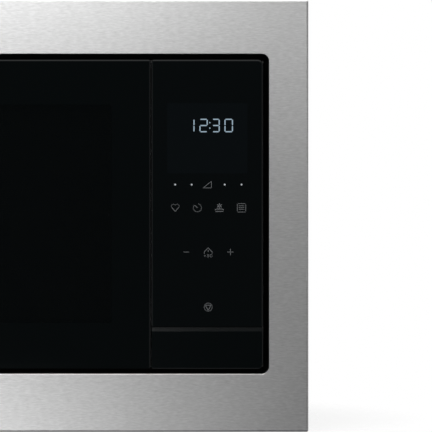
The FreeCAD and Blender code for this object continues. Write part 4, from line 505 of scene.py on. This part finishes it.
for level in (-1.6, 0.2, 2.0):
    draw(MENU, [(-2.6, level), (2.6, level)], 0.9)
draw(MINUS, [(-2.6, 0), (2.6, 0)], 0.85)
draw(START, [(-3.9, -1.4), (-3.9, 0.2), (0, 4.3), (3.9, 0.2), (3.9, -1.4)], 1.05)
draw(START, [(0, 2.0), (0, 0.2)], 1.05)
draw(START, [(-4.2, -3.7), (-2.4, -3.7)], 0.8)
draw(START, [(-3.3, -2.8), (-3.3, -4.6)], 0.8)
start_x, start_z = at_pixel(*START)
for character, left, right in START_FIGURES:
    sides = start_x + left * PIXEL, start_x + right * PIXEL
    levels = start_z + START_FOOT * PIXEL, start_z + START_TOP * PIXEL
    ink.extend(digit(character, *sides, *levels, PEN * 0.75))
draw(PLUS, [(-3.0, 0), (3.0, 0)])
draw(PLUS, [(0, -3.0), (0, 3.0)])
draw(STOP, arc(0, 0, 4.0, 0, 360, 28), 1.15)
draw(STOP, [(-2.9, 1.9), (2.9, 1.9), (0, -3.2)], 1.1, closed=True)
print_piece("key_symbols", ink, material)


# Folded and pressed sheet
# Casing, back, base, braces, waveguide, magnetron yoke and filter box, clamp, motor case and hinges are
# zinc-coated steel sheet, with the grey flowers of hot-dip coating and faint lines from the rolling mill.

material, place = finish("zinc_sheet")
flower = place.node("ShaderNodeTexVoronoi", {"feature": "F1"}, {"Vector": place, "Scale": 220.0}, out=1)
tone = flower.node("ShaderNodeRGBToBW", {}, {0: flower})
rolled = place.stretch(400.0, 12.0, 400.0).noise(1.0)
surface(
    material,
    Base_Color=(tone * 0.4 + rolled * 0.5).blend((0.42, 0.43, 0.44), (0.56, 0.57, 0.58)),
    Metallic=0.9,
    Roughness=0.42 + tone * 0.08,
    Normal=(tone * 0.5 + rolled).bump(0.04, 0.0002),
)
coat(
    material, "outer_casing", "back_panel", "base_plate", "trim_braces", "waveguide", "magnetron_yoke",
    "magnetron_filter_box", "capacitor_clamp", "turntable_motor", "hinge_upper", "hinge_lower",
)


# Oven cavity
# The cavity and its front plate are folded steel sheet. A grey paint with a fine speckle is sprayed
# on and baked.

material, place = finish("oven_paint")
speck = place.noise(1800.0, 1.0)
surface(
    material,
    Base_Color=(speck * 0.7 + place.noise(20.0) * 0.3).blend((0.36, 0.36, 0.35), (0.52, 0.52, 0.51)),
    Roughness=0.42 + speck * 0.12,
    Normal=place.noise(700.0).bump(0.12, 0.0002),
)
coat(material, "front_plate", "cavity_wrap", "cavity_vents", "cavity_floor", "cavity_back")


# Door panel
# Pressed steel painted black. Its middle is the screen: rows of small round holes, every second row half
# a pitch along, that let light out and keep the microwaves in.

PITCH = 0.0024
ROW_STEP = PITCH * 0.866
HOLE_RADIUS = PITCH * 0.33
material, place = finish("door_screen")
x, _, z = place.axes()
row = z / ROW_STEP
half_pitch = (row.math("FLOOR") * 0.5).math("FRACT")
u = ((x / PITCH + half_pitch).math("FRACT") - 0.5) * PITCH
v = (row.math("FRACT") - 0.5) * ROW_STEP
hole = (u * u + v * v) < HOLE_RADIUS ** 2
surface(
    material,
    Base_Color=place.noise(300.0).blend((0.008, 0.008, 0.009), (0.014, 0.014, 0.015)),
    Roughness=0.45 + place.noise(900.0) * 0.1,
    Alpha=1 - hole * in_window(x, z),
)
coat(material, "door_panel")


# Choke cover and dark mouldings
# A dark grey moulded ring snaps over the choke channel on the inside of the door. Fan shroud, air duct,
# switches, diode, cut-outs, display and feet have the same dark grain.

material, place = finish("dark_moulding")
grain = place.noise(1800.0)
surface(
    material,
    Base_Color=place.noise(40.0).blend((0.022, 0.022, 0.023), (0.032, 0.032, 0.034)),
    Roughness=0.46 + grain * 0.14,
    Normal=grain.bump(0.2, 0.0001),
)
coat(
    material, "choke_cover", "fan_shroud", "air_duct", "microswitches", "hv_diode", "thermal_cutouts",
    "display_module", "feet",
)


# Inner window and turntable tray
# A clear sheet closes the inside of the door. The tray is pressed glass with a slight green tint, and
# lies loose on its coupler.

material, place = finish("clear_window")
surface(
    material,
    Base_Color=place.noise(15.0).blend((0.75, 0.78, 0.77), (0.82, 0.84, 0.83)),
    Roughness=0.05 + place.noise(80.0) * 0.04,
    Alpha=0.25,
)
coat(material, "inner_window")
material, place = finish("tray_glass")
surface(
    material,
    Base_Color=place.noise(15.0).blend((0.72, 0.82, 0.78), (0.8, 0.88, 0.85)),
    Roughness=0.05 + place.noise(60.0) * 0.05,
    Alpha=0.42,
    Normal=place.noise(50.0).bump(0.05, 0.0005),
)
coat(material, "glass_tray")


# Natural mouldings
# Latch bar, latch board, plungers, lever, turntable shaft and coupler, roller ring and rollers, fan blade
# and oven lamp's holder are moulded in off-white engineering plastic.

material, place = finish("natural_moulding")
grain = place.noise(900.0)
surface(
    material,
    Base_Color=place.noise(50.0).blend((0.62, 0.6, 0.54), (0.72, 0.7, 0.65)),
    Roughness=0.4 + grain * 0.12,
    Normal=grain.bump(0.1, 0.0001),
)
coat(
    material, "door_latch", "latch_board", "switch_plungers", "release_lever", "turntable_shaft",
    "turntable_coupler", "roller_ring", "roller_a", "roller_b", "roller_c", "fan_blade", "oven_lamp",
)


# Springs, screws and antenna
# Both springs are wound from drawn wire with closed ends.
# Screws and the magnetron's antenna are plated.

WIRE = 0.0009
CLOSED_PITCH = WIRE * 1.1
OPEN_TURNS = 6
STEPS_A_TURN = 20
WIRE_SIDES = 8
material, place = finish("plated_wire")
surface(
    material,
    Base_Color=place.noise(200.0).blend((0.5, 0.5, 0.5), (0.68, 0.68, 0.67)),
    Metallic=1.0,
    Roughness=0.25 + place.noise(500.0) * 0.15,
)
coat(material, "screws", "magnetron_antenna")


def wound_spring(name, node, lengthwise, across, sideways):
    """A wire wound round the middle of a node's box, along one axis, with a closed turn at each end."""
    low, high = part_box(node)
    radius = (high[across] - low[across] - WIRE) / 2
    length = high[lengthwise] - low[lengthwise] - WIRE
    pitch = (length - 2 * CLOSED_PITCH) / OPEN_TURNS
    line = []
    for step in range((OPEN_TURNS + 2) * STEPS_A_TURN + 1):
        turn = step / STEPS_A_TURN
        rise = CLOSED_PITCH * min(turn, 1) + pitch * min(max(turn - 1, 0), OPEN_TURNS)
        rise += CLOSED_PITCH * max(turn - 1 - OPEN_TURNS, 0)
        point = (low + high) / 2
        point[lengthwise] = low[lengthwise] + WIRE / 2 + rise
        point[across] += radius * math.cos(2 * math.pi * turn)
        point[sideways] += radius * math.sin(2 * math.pi * turn)
        line.append(point)
    axis = Vector([float(n == lengthwise) for n in range(3)])
    angles = [2 * math.pi * side / WIRE_SIDES for side in range(WIRE_SIDES)]
    build = bmesh.new()
    rings = []
    for n, point in enumerate(line):
        along = (line[min(n + 1, len(line) - 1)] - line[max(n - 1, 0)]).normalized()
        out = along.cross(axis).normalized()
        up = out.cross(along)
        spokes = [(out * math.cos(angle) + up * math.sin(angle)) * (WIRE / 2) for angle in angles]
        rings.append([build.verts.new(point + spoke) for spoke in spokes])
    for ring, after in zip(rings, rings[1:]):
        for side in range(WIRE_SIDES):
            past = (side + 1) % WIRE_SIDES
            build.faces.new((ring[side], ring[past], after[past], after[side])).smooth = True
    build.faces.new(rings[0])
    build.faces.new(rings[-1])
    bmesh.ops.recalc_face_normals(build, faces=build.faces)
    piece = new_piece(name, build, material)
    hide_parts(node)
    return piece, low, high


press = next(joint for joint in frame["joints"] if joint["name"] == "button_press")
travel = press["range_m"][1]
spring, low, high = wound_spring(
    "button_return_spring", "button_spring", lengthwise=1, across=0, sideways=2
)
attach(spring, "chassis")
1 - travel / (high.y - low.y)
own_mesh(spring)

spring, low, high = wound_spring(
    "latch_return_spring", "latch_spring", lengthwise=2, across=0, sideways=1
)
anchor, hook = (low + high) / 2, (low + high) / 2
anchor.z, hook.z = low.z, high.z
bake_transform(spring)


# Mica cover
# A sheet pressed from mica flakes. It lies over the waveguide's mouth and keeps steam and splashes out.

material, place = finish("mica_sheet")
flake = place.node("ShaderNodeTexVoronoi", {"feature": "F1"}, {"Vector": place, "Scale": 260.0})
surface(
    material,
    Base_Color=(flake + place.noise(40.0) * 0.4).blend((0.42, 0.36, 0.27), (0.62, 0.56, 0.45)),
    Roughness=0.5 + flake * 0.2,
    Normal=flake.bump(0.2, 0.0002),
)
coat(material, "waveguide_cover")


# Supply and boards
# The transformer has copper windings on a varnished stack of steel plates, and the fan motor a like stack.
# The capacitor's can and the magnetron's fins are aluminium, and the boards are green laminate.

material, place = finish("copper_winding")
turns = (place.axes()[2] * 5200.0).math("SINE")
surface(
    material,
    Base_Color=(turns * 0.5 + 0.5).blend((0.26, 0.09, 0.03), (0.5, 0.22, 0.1)),
    Metallic=0.8,
    Roughness=0.35 + place.noise(300.0) * 0.1,
    Normal=turns.bump(0.4, 0.0003),
)
coat(material, "transformer_windings")
material, place = finish("plate_stack")
layers = (place.axes()[0] * 6000.0).math("SINE")
surface(
    material,
    Base_Color=(layers * 0.3 + place.noise(80.0)).blend((0.03, 0.03, 0.033), (0.08, 0.08, 0.085)),
    Metallic=0.4,
    Roughness=0.4 + place.noise(300.0) * 0.15,
    Normal=layers.bump(0.3, 0.0002),
)
coat(material, "transformer_core", "fan_motor")
material, place = finish("mill_aluminium")
drawn = place.stretch(30.0, 400.0, 400.0).noise(1.0)
surface(
    material,
    Base_Color=drawn.blend((0.6, 0.61, 0.62), (0.76, 0.77, 0.78)),
    Metallic=1.0,
    Roughness=0.3 + place.noise(90.0) * 0.12,
)
coat(material, "magnetron_fins", "capacitor")
material, place = finish("circuit_board")
cells = {"Vector": place, "Scale": 160.0}
track = place.node("ShaderNodeTexVoronoi", {"feature": "DISTANCE_TO_EDGE"}, cells)
surface(
    material,
    Base_Color=(track > 0.12).blend((0.06, 0.2, 0.09), (0.02, 0.1, 0.045)),
    Roughness=0.35 + place.noise(300.0) * 0.1,
    Normal=track.bump(0.1, 0.0001),
)
coat(material, "control_board", "filter_board")


# Cord grommet
# A soft black rubber ring that snaps into a round hole in the back panel and guards its edge.

material, place = finish("black_rubber")
surface(
    material,
    Base_Color=place.noise(120.0).blend((0.012, 0.012, 0.012), (0.022, 0.022, 0.022)),
    Roughness=0.7 + place.noise(600.0) * 0.15,
    Normal=place.noise(900.0).bump(0.15, 0.0001),
)
coat(material, "cord_grommet")


# Studio
# A pale floor that fades out round the object, with a thin pale board at shelf level behind the frame.
# Soft boxes stand in front, others hang above and behind, and a long lens is square to the front.

def flat_sheet(name, low, high, material):
    """A thin box of the studio between two corners."""
    build = bmesh.new()
    bmesh.ops.create_cube(build, size=1.0)
    for vertex in build.verts:
        vertex.co = [low[n] if vertex.co[n] < 0 else high[n] for n in range(3)]
    new_piece(name, build, material)


def rising(value, start, end, low=0.0, high=1.0):
    """A level that goes from low to high while the value goes from start to end, and stays there."""
    span = {"Value": value, "From Min": start, "From Max": end, "To Min": low, "To Max": high}
    return value.node("ShaderNodeMapRange", {}, span)


WHITE = (1.0, 1.0, 1.0)
FLOOR_SEEN = 0.78
FLOOR_MIRRORED = 0.8
FLOOR_MIDDLE = 0.22
FLOOR_REACH = 1.2
FLOOR_BACK = 1.6
FLOOR_DEPTH = 0.002
FADE_START, FADE_END = 0.26, 0.42
FRONT_FADE_START, FRONT_FADE_END = -0.004, -0.02
BOARD_HALF = 0.28
BOARD_FRONT, BOARD_BACK = 0.003, 0.9
AIR = 0.0002
material, place = finish("pale_floor")
x, y, _ = place.axes()
surface(material, Base_Color=(0.75, 0.75, 0.75), Roughness=0.9)
rays = place.node("ShaderNodeLightPath").beside()
behind = rising(y, 0.1, 0.4, low=0.08)
shown = rays["Is Camera Ray"] * FLOOR_SEEN
shown = shown.math("MAXIMUM", rays["Is Transmission Ray"] * FLOOR_MIRRORED)
shown = shown.math("MAXIMUM", rays["Is Glossy Ray"] * behind * FLOOR_MIRRORED)
tree = material.node_tree
plain = Wire(tree.nodes["Principled BSDF"].outputs["BSDF"])
white = place.node("ShaderNodeEmission", {}, {"Color": shade(WHITE), "Strength": 1.0})
pale = place.node("ShaderNodeMixShader", {}, {0: shown, 1: plain, 2: white})
away = y - FLOOR_MIDDLE
fade = rising((x * x + away * away).math("SQRT"), FADE_START, FADE_END)
fade = fade.math("MAXIMUM", rising(y, FRONT_FADE_START, FRONT_FADE_END))
clear = place.node("ShaderNodeBsdfTransparent")
faded = place.node("ShaderNodeMixShader", {}, {0: fade, 1: pale, 2: clear})
tree.links.new(faded.socket, tree.nodes["Material Output"].inputs["Surface"])
floor_low = (-FLOOR_REACH, -FLOOR_REACH, cad_low.z - FLOOR_DEPTH)
floor_high = (FLOOR_REACH, FLOOR_BACK, cad_low.z - AIR)
flat_sheet("floor", floor_low, floor_high, material)
board_low = (-BOARD_HALF, BOARD_FRONT, cad_low.z + AIR / 2)
board_high = (BOARD_HALF, BOARD_BACK, -AIR)
flat_sheet("shelf_board", board_low, board_high, material)

ROOM_LEVEL = 0.055
world = bpy.data.worlds.new("studio")
bpy.context.scene.world = world
world.use_nodes = True
tree = world.node_tree
direction = Wire(tree.nodes.new("ShaderNodeTexCoord").outputs["Generated"])
aside, ahead, above = direction.axes()
rays = direction.node("ShaderNodeLightPath").beside()
room = ROOM_LEVEL + rising(abs(aside), 0.3, 1.0, high=0.32)
room = room + rising(above, 0.4, 0.75, high=0.85) + rising(ahead, -0.1, 0.5, high=0.55)
seen = rays["Is Camera Ray"].math("MAXIMUM", rays["Is Transmission Ray"])
seen = seen.math("MAXIMUM", rays["Is Glossy Ray"] * rising(ahead, 0.0, 0.5, high=0.8))
background = tree.nodes["Background"]
background.inputs["Color"].default_value = shade(WHITE)
tree.links.new(seen.math("MAXIMUM", room).socket, background.inputs["Strength"])


def softbox(name, spot, aim, width, height, power):
    """A rectangular lamp at a spot, turned to what it lights."""
    light = bpy.data.lights.new(name, "AREA")
    light.shape = "RECTANGLE"
    light.size = width
    light.size_y = height
    light.energy = power
    lamp = bpy.data.objects.new(name, light)
    lamp.location = spot
    lamp.rotation_euler = (Vector(aim) - Vector(spot)).to_track_quat("-Z", "Y").to_euler()
    bpy.context.scene.collection.objects.link(lamp)
    return light


CLOTH_MEAN = 1 / 6


def soft_rim(light):
    """Cloth that is brightest in the middle and fades out at its rim, so that the glass mirrors no edge."""
    light.use_nodes = True
    tree = light.node_tree
    across, upright, _ = Wire(tree.nodes.new("ShaderNodeNewGeometry").outputs["Parametric"]).axes()
    cloth = (across * (1 - across) / CLOTH_MEAN) * (upright * (1 - upright) / CLOTH_MEAN)
    tree.links.new(cloth.socket, tree.nodes["Emission"].inputs["Strength"])


IN_FRONT = -1.3
soft_rim(softbox("left_box", (-0.4, IN_FRONT, 0.1), (-0.4, 0.0, 0.1), 0.62, 0.7, 1.5))
softbox("upper_box", (-0.085, IN_FRONT, 0.66), (-0.085, 0.0, 0.5), 0.46, 0.27, 1.85)
soft_rim(softbox("lower_box", (-0.28, IN_FRONT, -0.24), (-0.28, 0.0, -0.24), 0.7, 0.47, 3.1))
softbox("top_box", (0.1, IN_FRONT, 0.61), (0.15, 0.0, 0.25), 0.8, 0.26, 0.67)
softbox("side_strip", (0.6, IN_FRONT, 0.35), (0.28, 0.0, 0.28), 0.15, 0.3, 0.42)
softbox("edge_strip", (0.1, -0.34, 1.0), (0.1, 0.0, 0.38), 0.9, 0.15, 1.5)
softbox("overhead", (0.1, 0.2, 1.3), (0.1, 0.2, 0.2), 1.2, 0.6, 4.0)
softbox("back_light", (0.3, 1.9, 1.5), (0.0, 0.2, 0.2), 1.8, 1.2, 2.6)

DISTANCE = 3.0
SENSOR = 36.0
camera = bpy.data.objects.new("camera", bpy.data.cameras.new("camera"))
bpy.context.scene.collection.objects.link(camera)
picture_left, picture_low = at_pixel(0, PICTURE)
picture_right, picture_high = at_pixel(PICTURE, 0)
trim_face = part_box("trim_frame")[0].y
middle_x, middle_z = (picture_left + picture_right) / 2, (picture_low + picture_high) / 2
camera.location = (middle_x, trim_face - DISTANCE, middle_z)
camera.rotation_euler = (math.pi / 2, 0, 0)
camera.data.sensor_width = SENSOR
camera.data.lens = SENSOR * DISTANCE / (picture_right - picture_left)
camera.data.clip_end = 30.0
bpy.context.scene.camera = camera
bpy.context.scene.view_settings.view_transform = "Standard"
